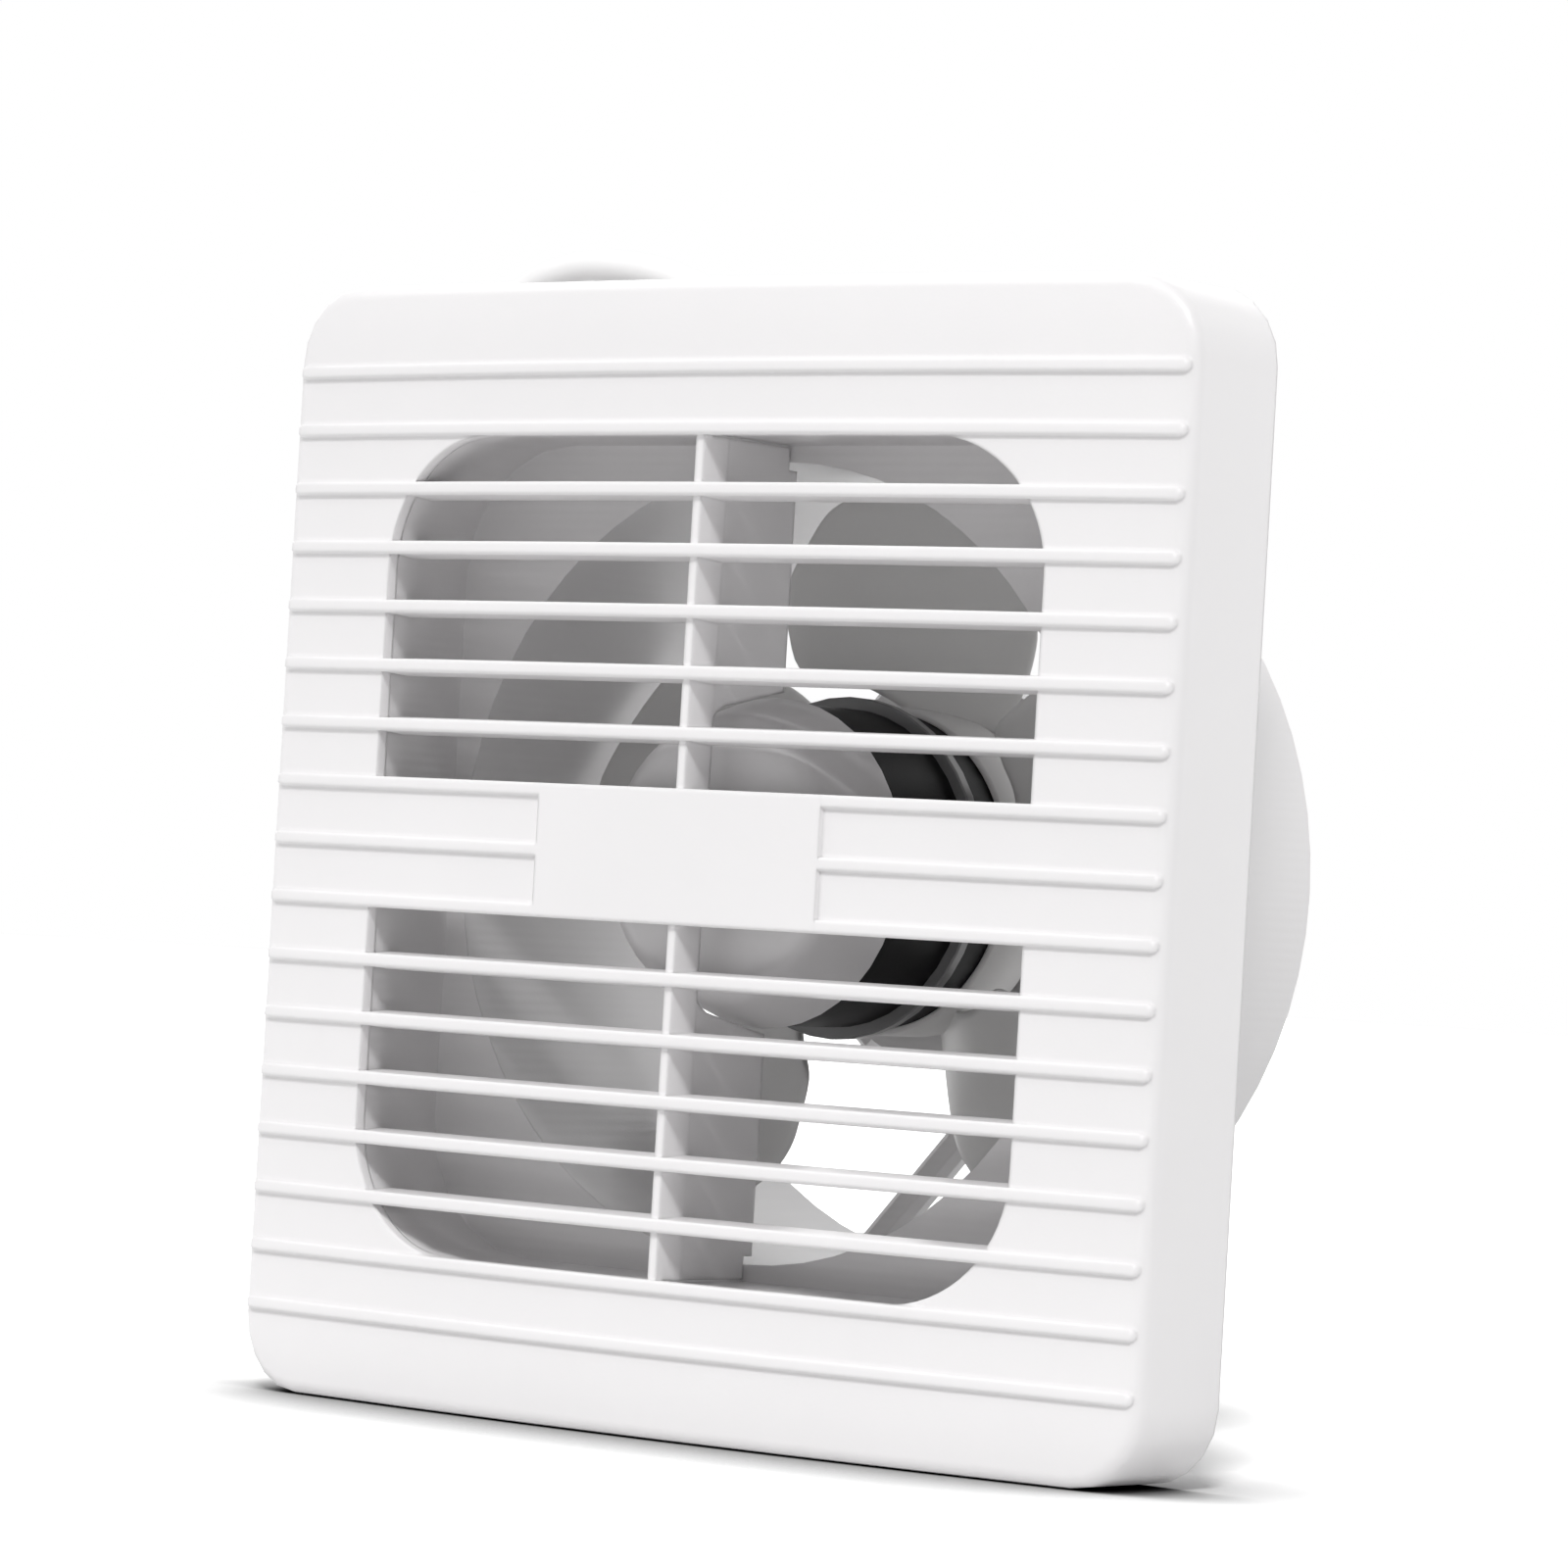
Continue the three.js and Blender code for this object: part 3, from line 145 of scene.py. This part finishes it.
SHOWN = {}
DRAWN_LATER = ("impeller", "power_cord", "cord_coil", "plug_cord")
for node_name in sorted(NODES):
    if node_name not in DRAWN_LATER:
        SHOWN[node_name] = smooth_copy(node_name)
print("smooth pieces", len(SHOWN))

# %% [markdown]
# ## Impeller
#
# The five blades are ear-shaped: a narrow root, a long swept leading edge and a round tip. Each is
# a thin cambered plate that rises toward the rear as it goes round. The blades' outlines show
# against the light, so they are drawn here on a smooth curve through the outline points that the
# solid blades have. Their edges are thin and rounded, and the hoop that carries them is a fine ring.

# %% Impeller
MM = 0.001
AXIS_Z = 102.5
BLADES = 5
CREST = 113  # degrees, where the first blade's leading edge is highest
CREST_Y = 47
RISE = 0.38  # millimetres toward the rear per degree
CAMBER = 0.0016  # added rise per degree squared
ROOT_R, TIP_R = 29.625, 69.7
ROOT_THICK, TIP_THINNER = 2, 0.6
RIM_SHARE, RIM_PART = 0.985, 0.6  # beyond this share only this part of the thickness is left
SHARP = math.radians(50)
HOOP = [(29.05, 52.7), (29.9, 52.7), (30.2, 53), (30.2, 66), (29.05, 66)]  # radius and depth
# share of the way from root to tip, then both edges in degrees from the crest
BLADE_OUTLINE = [
    (0, 25.5, 51), (0.0525, 19.9, 51), (0.1175, 13.1, 50.8), (0.1725, 4.9, 50.6),
    (0.2575, -0.8, 50.5), (0.445, -0.8, 49), (0.5575, -0.2, 47), (0.6825, 2.3, 43),
    (0.8175, 6.5, 41.5), (0.9175, 9.6, 40.5), (0.9725, 12.6, 38.5), (1, 17, 35),
]
# share of the way across the blade, then the part of its thickness there
ACROSS = [
    (0, 0.2), (0.015, 0.6), (0.05, 0.9), (0.15, 1), (0.3, 1), (0.5, 1), (0.7, 1), (0.85, 1),
    (0.95, 0.9), (0.985, 0.6), (1, 0.2),
]


def outline_rows(steps):
    """The outline's points with smooth ones between them: share, leading edge, trailing edge."""
    last = len(BLADE_OUTLINE) - 1
    rows = []
    for i in range(last):
        around = [BLADE_OUTLINE[min(max(k, 0), last)] for k in (i - 1, i, i + 1, i + 2)]
        for n in range(steps):
            t = n / steps
            row = []
            for a, b, c, d in zip(*around):
                curve = 2 * a - 5 * b + 4 * c - d + t * (3 * b - a - 3 * c + d)
                row.append(b + 0.5 * t * (c - a + t * curve))
            rows.append(row)
    return rows + [BLADE_OUTLINE[last]]


def blade_shape(crest, first):
    """Corners and faces of one closed blade whose leading edge crests at this angle."""
    fronts, rears = [], []
    rows = outline_rows(steps=4)
    for share, lead, trail in rows:
        radius = ROOT_R + (TIP_R - ROOT_R) * share
        thick = ROOT_THICK - TIP_THINNER * share
        if share >= RIM_SHARE:
            thick *= RIM_PART
        for across, part in ACROSS:
            turn = lead + across * (trail - lead)
            slope = math.atan((RISE + 2 * CAMBER * turn) / math.radians(radius))
            half = thick * part / 2 / math.cos(slope)
            angle = math.radians(crest - turn)
            x, z = radius * math.cos(angle), AXIS_Z + radius * math.sin(angle)
            y = CREST_Y + RISE * turn + CAMBER * turn * turn
            fronts.append((x * MM, (y - half) * MM, z * MM))
            rears.append((x * MM, (y + half) * MM, z * MM))
    wide, deep, back = len(ACROSS), len(rows), len(fronts)
    faces = []
    for i in range(deep - 1):
        for j in range(wide - 1):
            a, b = i * wide + j, (i + 1) * wide + j
            faces.append((a, b, b + 1, a + 1))
            faces.append((a + back, a + 1 + back, b + 1 + back, b + back))
        a, b = i * wide, (i + 1) * wide
        faces.append((b, a, a + back, b + back))
        a, b = a + wide - 1, b + wide - 1
        faces.append((a, b, b + back, a + back))
    for j in range(wide - 1):
        a, b = j, (deep - 1) * wide + j
        faces.append((a, a + 1, a + 1 + back, a + back))
        faces.append((b + 1, b, b + back, b + 1 + back))
    return fronts + rears, [tuple(first + corner for corner in face) for face in faces]


def add_impeller(sides=120):
    corners, faces = [], []
    for k in range(BLADES):
        more, around = blade_shape(CREST - 360 / BLADES * k, len(corners))
        corners += more
        faces += around
    first, ring = len(corners), len(HOOP)
    for n in range(sides):
        angle = 2 * math.pi * n / sides
        for radius, y in HOOP:
            x, z = radius * math.cos(angle), AXIS_Z + radius * math.sin(angle)
            corners.append((x * MM, y * MM, z * MM))
    for n in range(sides):
        for k in range(ring):
            a, b = first + n * ring, first + (n + 1) % sides * ring
            faces.append((a + k, a + (k + 1) % ring, b + (k + 1) % ring, b + k))
    mesh = bpy.data.meshes.new("impeller")
    mesh.from_pydata(corners, [], faces)
    work = bmesh.new()
    work.from_mesh(mesh)
    bmesh.ops.recalc_face_normals(work, faces=work.faces)
    for face in work.faces:
        face.smooth = True
    for edge in work.edges:
        edge.smooth = edge.calc_face_angle(0) < SHARP
    work.to_mesh(mesh)
    work.free()
    wheel = bpy.data.objects.new("impeller_finish", mesh)
    bpy.context.scene.collection.objects.link(wheel)
    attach(wheel, NODE_BODY["impeller"])
    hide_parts("impeller")
    return wheel


SHOWN["impeller"] = add_impeller()
print("impeller", len(SHOWN["impeller"].data.polygons), "faces")

# %% [markdown]
# ## Supply lead
#
# The lead is a white flexible cord, 6.5 mm thick. The photograph shows only the hump where it
# arches over the top edge. It leaves a tapered boot on the terminal box, rises over the edge in a
# long slope, drops beside the tube and runs along the floor. The rest lies behind the fan as a tied
# coil of three and a half turns, and its tail drops to the plug. One tube is swept along the whole
# route, so the sheath has no joints, and it lies on the solids that stand for it in the frame.

# %% Supply lead
CORD_R = 3.25
SHEATH_R = 3.22
BOOT_TIP = 4.0
LEAD_Z = 189.53
SIDE_X = -94.0
FLOOR_Z = CORD_R + 0.3
COIL_X = -62.0
COIL_Y = 150.0
COIL_R = 11 * CORD_R
COIL_TURNS = 3.5
COIL_PITCH = 7.2
COIL_TOP = FLOOR_Z + COIL_TURNS * COIL_PITCH
PLUG_Z = 7.2
PLUG_TAIL = 87.5
BOOT_Y = 30
FROM_BOOT = [(BOOT_TIP - x, BOOT_Y, LEAD_Z) for x in (0.3, 3.6, 7)]
# across from SIDE_X, depth, height above LEAD_Z
ARCH = [
    (83.4, 30.2, 1.2), (76.5, 30.8, 4.4), (70.6, 31.6, 9.7), (64.8, 32.4, 14.9), (57.2, 33.6, 18.7),
    (48, 35.2, 21.3), (38, 36.8, 22.7), (27.5, 38, 22.95), (13.8, 39.5, 19.4), (3.8, 40, 9.4),
    (0.1, 40, -4.4),
]
# outward from SIDE_X, depth, height
DOWN = [
    (0.2, 40, 150), (0.6, 40, 110), (1, 40, 70), (1.3, 40.7, 45), (1.5, 42, 29.8), (1.7, 44, 19.9),
    (2, 49.6, 11.4), (2.3, 58, 5.9), (2.6, 68.5, FLOOR_Z + 0.1), (2.9, 82, FLOOR_Z),
    (3.4, 102, FLOOR_Z),
]
TO_COIL = [(COIL_X - COIL_R, 122, FLOOR_Z), (COIL_X - COIL_R, 136.7, FLOOR_Z)]
TAIL = [
    (COIL_X + COIL_R, COIL_Y - 4 * CORD_R, COIL_TOP), (COIL_X + COIL_R, 126, COIL_TOP - 2.2),
    (COIL_X + COIL_R, 116, COIL_TOP - 9.8), (COIL_X + COIL_R, 106, PLUG_Z + 2.6),
    (COIL_X + COIL_R, 95.5, PLUG_Z), (COIL_X + COIL_R, PLUG_TAIL + 0.3, PLUG_Z),
]


def coil_points(per_turn=24):
    """The coil's turns, stacked one on another."""
    points = []
    for i in range(int(COIL_TURNS * per_turn) + 1):
        angle = 2 * math.pi * i / per_turn
        points.append((
            COIL_X - COIL_R * math.cos(angle),
            COIL_Y + COIL_R * math.sin(angle),
            FLOOR_Z + COIL_PITCH * i / per_turn,
        ))
    return points


def smooth_path(knots, step):
    """Points about one step apart on a smooth curve through the knots."""
    knots = [Vector(k) for k in knots]
    times = [0.0]
    for a, b in zip(knots, knots[1:]):
        times.append(times[-1] + (b - a).length)
    slopes = []
    for i in range(len(knots)):
        a, b = max(0, i - 1), min(len(knots) - 1, i + 1)
        slopes.append((knots[b] - knots[a]) / (times[b] - times[a]))
    path = []
    for i in range(len(knots) - 1):
        span = times[i + 1] - times[i]
        parts = max(1, round(span / step))
        for n in range(parts):
            t = n / parts
            path.append(
                knots[i] * (2 * t**3 - 3 * t**2 + 1) + slopes[i] * span * (t**3 - 2 * t**2 + t)
                + knots[i + 1] * (3 * t**2 - 2 * t**3) + slopes[i + 1] * span * (t**3 - t**2)
            )
    return path + [knots[-1]]


def swept_tube(name, path, radius, sides):
    """A closed tube with an even ring of corners at every point of the path."""
    corners, faces = [], []
    side = Vector((0, 0, 1))
    for i, point in enumerate(path):
        along = (path[min(i + 1, len(path) - 1)] - path[max(i - 1, 0)]).normalized()
        side = (side - along * side.dot(along)).normalized()
        other = along.cross(side)
        for n in range(sides):
            angle = 2 * math.pi * n / sides
            ring = side * math.cos(angle) + other * math.sin(angle)
            corners.append((point + ring * radius) * MM)
    for i in range(len(path) - 1):
        for n in range(sides):
            a, b = i * sides + n, i * sides + (n + 1) % sides
            faces.append((a, b, b + sides, a + sides))
    faces.append(tuple(reversed(range(sides))))
    faces.append(tuple(range(len(corners) - sides, len(corners))))
    mesh = bpy.data.meshes.new(name)
    mesh.from_pydata(corners, [], faces)
    for face in mesh.polygons[:-2]:
        face.use_smooth = True
    tube = bpy.data.objects.new(name, mesh)
    bpy.context.scene.collection.objects.link(tube)
    return tube


def add_cord():
    arch = [(SIDE_X + x, y, LEAD_Z + z) for x, y, z in ARCH]
    down = [(SIDE_X - x, y, z) for x, y, z in DOWN]
    path = smooth_path(FROM_BOOT + arch + down + TO_COIL + coil_points() + TAIL, step=4)
    cord = swept_tube("supply_cord", path, SHEATH_R, sides=18)
    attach(cord, "housing")
    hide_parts("power_cord", "cord_coil", "plug_cord")
    return cord


supply_cord = add_cord()

# %% [markdown]
# ## Finishes
#
# Every finish is built from the same few nodes: a colour that drifts slightly over the piece, a
# roughness that varies with it, and a fine bump at the scale of the real surface. Constants go
# straight on the shader. Plastics get a fine spark-eroded grain, and the cover's, the housing's and
# the impeller's edges catch the light as if they were rounded. Castings get a coarse grain,
# windings a row of wires and laminations a stack of thin plates.

# %% Finish builder
DRIFT_SCALE = 14
GRAIN_SCALE = 1600
ROUGH_DRIFT = 0.05


def finish(name, color, roughness, drift=0.015, grain=0.00002, metal=0.0, subsurface=0.0, edge=0.0,
           specular=0.5):
    """A procedural finish. color is the mean in linear light, grain and edge are in metres."""
    made = bpy.data.materials.new(name)
    made.use_nodes = True
    tree = made.node_tree
    shader = tree.nodes["Principled BSDF"]
    place = tree.nodes.new("ShaderNodeTexCoord")
    slow = tree.nodes.new("ShaderNodeTexNoise")
    slow.inputs["Scale"].default_value = DRIFT_SCALE
    slow.inputs["Detail"].default_value = 4
    tree.links.new(place.outputs["Object"], slow.inputs["Vector"])
    ramp = tree.nodes.new("ShaderNodeValToRGB")
    ramp.color_ramp.elements[0].position = 0.3
    ramp.color_ramp.elements[1].position = 0.7
    ramp.color_ramp.elements[0].color = [c * (1 - drift) for c in color] + [1]
    ramp.color_ramp.elements[1].color = [min(1, c * (1 + drift)) for c in color] + [1]
    tree.links.new(slow.outputs["Fac"], ramp.inputs["Fac"])
    tree.links.new(ramp.outputs["Color"], shader.inputs["Base Color"])
    spread = tree.nodes.new("ShaderNodeMapRange")
    spread.inputs["To Min"].default_value = max(0.02, roughness - ROUGH_DRIFT)
    spread.inputs["To Max"].default_value = min(1, roughness + ROUGH_DRIFT)
    tree.links.new(slow.outputs["Fac"], spread.inputs["Value"])
    tree.links.new(spread.outputs["Result"], shader.inputs["Roughness"])
    fine = tree.nodes.new("ShaderNodeTexNoise")
    fine.inputs["Scale"].default_value = GRAIN_SCALE
    fine.inputs["Detail"].default_value = 2
    tree.links.new(place.outputs["Object"], fine.inputs["Vector"])
    bump = tree.nodes.new("ShaderNodeBump")
    bump.inputs["Distance"].default_value = grain
    bump.inputs["Strength"].default_value = 0.6
    tree.links.new(fine.outputs["Fac"], bump.inputs["Height"])
    tree.links.new(bump.outputs["Normal"], shader.inputs["Normal"])
    if edge:
        soft = tree.nodes.new("ShaderNodeBevel")
        soft.samples = 8
        soft.inputs["Radius"].default_value = edge
        tree.links.new(soft.outputs["Normal"], bump.inputs["Normal"])
    shader.inputs["Metallic"].default_value = metal
    shader.inputs["Specular IOR Level"].default_value = specular
    shader.inputs["Subsurface Weight"].default_value = subsurface
    shader.inputs["Subsurface Radius"].default_value = (0.002, 0.002, 0.002)
    return made


def banded(made, axis, period, depth):
    """Adds ridges across an axis, such as wires or laminations, to a finish."""
    tree = made.node_tree
    place = tree.nodes["Texture Coordinate"]
    wave = tree.nodes.new("ShaderNodeTexWave")
    wave.bands_direction = axis
    wave.inputs["Scale"].default_value = math.pi / 10 / period
    wave.inputs["Distortion"].default_value = 0.2
    tree.links.new(place.outputs["Object"], wave.inputs["Vector"])
    ridge = tree.nodes.new("ShaderNodeBump")
    ridge.inputs["Distance"].default_value = depth
    tree.links.new(wave.outputs["Fac"], ridge.inputs["Height"])
    tree.links.new(tree.nodes["Bump"].outputs["Normal"], ridge.inputs["Normal"])
    tree.links.new(ridge.outputs["Normal"], tree.nodes["Principled BSDF"].inputs["Normal"])
    return made


def paint(made, *names):
    for name in names:
        piece = SHOWN[name]
        piece.data.materials.clear()
        piece.data.materials.append(made)


print("finish builder ready")

# %% [markdown]
# ## White plastics
#
# The cover is moulded in a bright, faintly cool white with a satin sheen. Its ribs and bars have
# well rounded edges, so their upper halves catch the light. The housing behind it is the same
# plastic, painted a darker white as painted shade for the dim inside of the duct, and its walls show
# faint level streaks from the mould. The impeller and the hub cap are painted a darker white too, as
# painted shade for the inside of the duct.

# %% White plastics
cover_white = finish("cover_white", (0.845, 0.833, 0.839), 0.36, edge=0.0011)
# The housing, impeller and hub cap whites are darker than the cover's: painted shade for the dim
# inside of the duct.
housing_shaded_white = finish("housing_shaded_white", (0.745, 0.735, 0.74), 0.42, drift=0.02, edge=0.0004)
banded(housing_shaded_white, "Z", 0.0018, 0.00002)
impeller_shaded_white = finish("impeller_shaded_white", (0.7, 0.695, 0.69), 0.38, drift=0.02, edge=0.0004)
cap_shaded_white = finish("cap_shaded_white", (0.72, 0.71, 0.715), 0.34)
paint(cover_white, "front_cover")
paint(housing_shaded_white, "housing", "box_lid")
paint(impeller_shaded_white, "impeller")
paint(cap_shaded_white, "hub_cap")
print("white plastics done")

# %% [markdown]
# ## Motor finishes
#
# The rotor can is steel with a black satin coat, and the rolled bead round it is painted a lighter
# grey, a painted highlight for the light its rolled edges catch. The flange is a grey die casting,
# the shaft is ground, the bushes are sintered bronze, the core is a stack of varnished laminations
# and the coils are enamelled copper wire.

# %% Motor finishes
can_black = finish(
    "can_black", (0.009, 0.0086, 0.0094), 0.5, drift=0.2, grain=0.00003, specular=0.12,
)
cast_grey = finish("cast_grey", (0.32, 0.32, 0.33), 0.5, drift=0.06, grain=0.00008, metal=0.7)
ground_steel = finish("ground_steel", (0.62, 0.63, 0.64), 0.2, metal=1.0)
zinc_steel = finish("zinc_steel", (0.55, 0.56, 0.57), 0.34, drift=0.05, metal=1.0)
bronze = finish("bronze", (0.5, 0.34, 0.14), 0.45, drift=0.08, grain=0.00005, metal=0.9)
core = banded(finish("core", (0.12, 0.12, 0.125), 0.5, metal=0.6), "Y", 0.0005, 0.0001)
copper = banded(finish("copper", (0.42, 0.13, 0.05), 0.35, metal=0.7), "Y", 0.0004, 0.00015)
fibre = finish("fibre", (0.04, 0.04, 0.04), 0.7)
# The bead's lighter grey is a painted highlight for its rolled edges.
bead_painted_highlight = finish("bead_painted_highlight", (0.17, 0.17, 0.172), 0.34, drift=0.06)
BEAD_R, BEAD_Y, BEAD_HALF = 29.3, 42.6, 2  # the bead lies beyond this radius, about this depth
paint(can_black, "rotor_can")
can = SHOWN["rotor_can"].data
# The bead's faces take the painted highlight grey.
can.materials.append(bead_painted_highlight)
for face in can.polygons:
    out = math.hypot(face.center.x, face.center.z - AXIS_Z * MM)
    if out > BEAD_R * MM and abs(face.center.y - BEAD_Y * MM) < BEAD_HALF * MM:
        face.material_index = 1
paint(cast_grey, "stator_flange")
paint(ground_steel, "shaft")
paint(zinc_steel, "shaft_clip", "motor_screw_1", "motor_screw_2", "motor_screw_3", "motor_screw_4")
paint(zinc_steel, "box_lid_screw_1", "box_lid_screw_2", "cord_clamp_screw_1", "cord_clamp_screw_2")
paint(bronze, "front_bush", "rear_bush")
paint(core, "stator_core", "rotor_ring")
paint(copper, "winding_1", "winding_2", "winding_3", "winding_4")
paint(fibre, "thrust_washer")
print("motor finishes done")

# %% [markdown]
# ## Supply finishes
#
# The lead's sheath and the moulded plug are soft white plastic with a dull sheen. The terminal
# block is natural nylon with brass screws, and the plug's pins are nickel plated.

# %% Supply finishes
sheath = finish("sheath", (0.88, 0.875, 0.875), 0.46, drift=0.02, grain=0.00003, subsurface=0.05)
nylon = finish("nylon", (0.66, 0.64, 0.58), 0.48, drift=0.03, subsurface=0.05)
brass = finish("brass", (0.6, 0.42, 0.17), 0.3, drift=0.05, metal=1.0)
nickel = finish("nickel", (0.66, 0.65, 0.62), 0.18, metal=1.0)
strap = finish("strap", (0.6, 0.6, 0.6), 0.5)
supply_cord.data.materials.append(sheath)
paint(sheath, "strain_relief", "plug_body", "motor_lead")
paint(nylon, "terminal_block", "cord_clamp")
paint(brass, "terminal_screw_1", "terminal_screw_2")
paint(nickel, "plug_pin_1", "plug_pin_2")
paint(strap, "cord_tie")
bare = [name for name, piece in SHOWN.items() if not piece.data.materials]
print("supply finishes done, pieces without a finish:", bare)

# %% [markdown]
# ## Light and floor
#
# The picture is a bright product shot on a white ground. A fairly small key lamp stands above and
# to the right of the front, near the camera. It throws the bars' slanting shadows on the web and on
# the inner walls. A wide lamp high on the left lights the ribs from above, and two wide lamps behind
# light the tube and the duct's far wall. The surroundings are pure white for the camera and in
# reflections, and dimmer as a light, so that the inside of the duct stays darker than the cover.
# The floor looks white to the camera too, but it still darkens where the fan shades it.

# %% Light and floor


def by_ray(tree, plain, seen):
    """Mixes two shaders: seen for the camera and for mirror images, plain for all other light."""
    ray = tree.nodes.new("ShaderNodeLightPath")
    kind = ray.outputs["Is Camera Ray"]
    for name in ("Is Glossy Ray", "Is Transmission Ray"):
        either = tree.nodes.new("ShaderNodeMath")
        either.operation = "MAXIMUM"
        tree.links.new(kind, either.inputs[0])
        tree.links.new(ray.outputs[name], either.inputs[1])
        kind = either.outputs["Value"]
    mix = tree.nodes.new("ShaderNodeMixShader")
    tree.links.new(kind, mix.inputs["Fac"])
    tree.links.new(plain, mix.inputs[1])
    tree.links.new(seen, mix.inputs[2])
    return mix.outputs["Shader"]


def white_world(strength):
    world = bpy.data.worlds.new("studio")
    bpy.context.scene.world = world
    world.use_nodes = True
    tree = world.node_tree
    light = tree.nodes["Background"]
    light.inputs["Color"].default_value = (1, 1, 1, 1)
    light.inputs["Strength"].default_value = strength
    white = tree.nodes.new("ShaderNodeBackground")
    white.inputs["Color"].default_value = (1, 1, 1, 1)
    white.inputs["Strength"].default_value = 1
    shader = by_ray(tree, light.outputs["Background"], white.outputs["Background"])
    tree.links.new(shader, tree.nodes["World Output"].inputs["Surface"])


def toward(azimuth, elevation):
    """The direction to a lamp; azimuth 0 is straight in front of the fan."""
    level = math.cos(math.radians(elevation))
    return Vector((
        math.sin(math.radians(azimuth)) * level,
        -math.cos(math.radians(azimuth)) * level,
        math.sin(math.radians(elevation)),
    ))


def far_lamp(name, azimuth, elevation, spread, strength):
    """A lamp so far away that it lights the whole scene evenly; spread is its width in degrees."""
    data = bpy.data.lights.new(name, "SUN")
    data.angle = math.radians(spread)
    data.energy = strength
    lamp = bpy.data.objects.new(name, data)
    bpy.context.scene.collection.objects.link(lamp)
    lamp.location = toward(azimuth, elevation) * 2
    lamp.rotation_euler = toward(azimuth, elevation).to_track_quat("Z", "Y").to_euler()


def dull(tree, level):
    """A matt grey of this level on the floor."""
    made = tree.nodes.new("ShaderNodeBsdfDiffuse")
    made.inputs["Color"].default_value = (level, level, level, 1)
    return made


def contact_shade(tree, shown, reach, depth):
    """The shown level, darker within reach of what stands on the floor."""
    near = tree.nodes.new("ShaderNodeAmbientOcclusion")
    near.inputs["Distance"].default_value = reach
    deeper = tree.nodes.new("ShaderNodeMath")
    deeper.operation = "POWER"
    deeper.inputs[1].default_value = depth
    tree.links.new(near.outputs["AO"], deeper.inputs[0])
    level = tree.nodes.new("ShaderNodeMath")
    level.operation = "MULTIPLY"
    level.inputs[1].default_value = shown
    tree.links.new(deeper.outputs["Value"], level.inputs[0])
    return level.outputs["Value"]


def floor(half, bounce, shown, reach=0.055, depth=2.2):
    """A level floor. bounce is how much light it gives back, shown how bright it looks."""
    mesh = bpy.data.meshes.new("floor")
    corners = [(-half, -half, 0), (half, -half, 0), (half, half, 0), (-half, half, 0)]
    mesh.from_pydata(corners, [], [(0, 1, 2, 3)])
    ground = bpy.data.objects.new("floor", mesh)
    ground.location.z = -0.0002
    bpy.context.scene.collection.objects.link(ground)
    made = bpy.data.materials.new("floor_white")
    made.use_nodes = True
    tree = made.node_tree
    tree.nodes.remove(tree.nodes["Principled BSDF"])
    plain_floor, shown_floor = dull(tree, bounce), dull(tree, shown)
    tree.links.new(contact_shade(tree, shown, reach, depth), shown_floor.inputs["Color"])
    shader = by_ray(tree, plain_floor.outputs["BSDF"], shown_floor.outputs["BSDF"])
    tree.links.new(shader, tree.nodes["Material Output"].inputs["Surface"])
    mesh.materials.append(made)


white_world(0.25)
far_lamp("key", 33, 43, 11, 1.6)
far_lamp("fill", -45, 54, 50, 1.27)
far_lamp("back", 145, 16, 60, 0.75)
far_lamp("rear", -150, 25, 60, 0.75)
floor(half=6, bounce=0.8, shown=1.5)
scene = bpy.context.scene
scene.view_settings.view_transform = "Standard"
scene.view_settings.look = "None"
print("light and floor done")

# %% [markdown]
# ## Close
#
# plain turns a box's corners into lists of plain numbers.

# %% Close


def plain(box):
    return [[float(v) for v in corner] for corner in box]
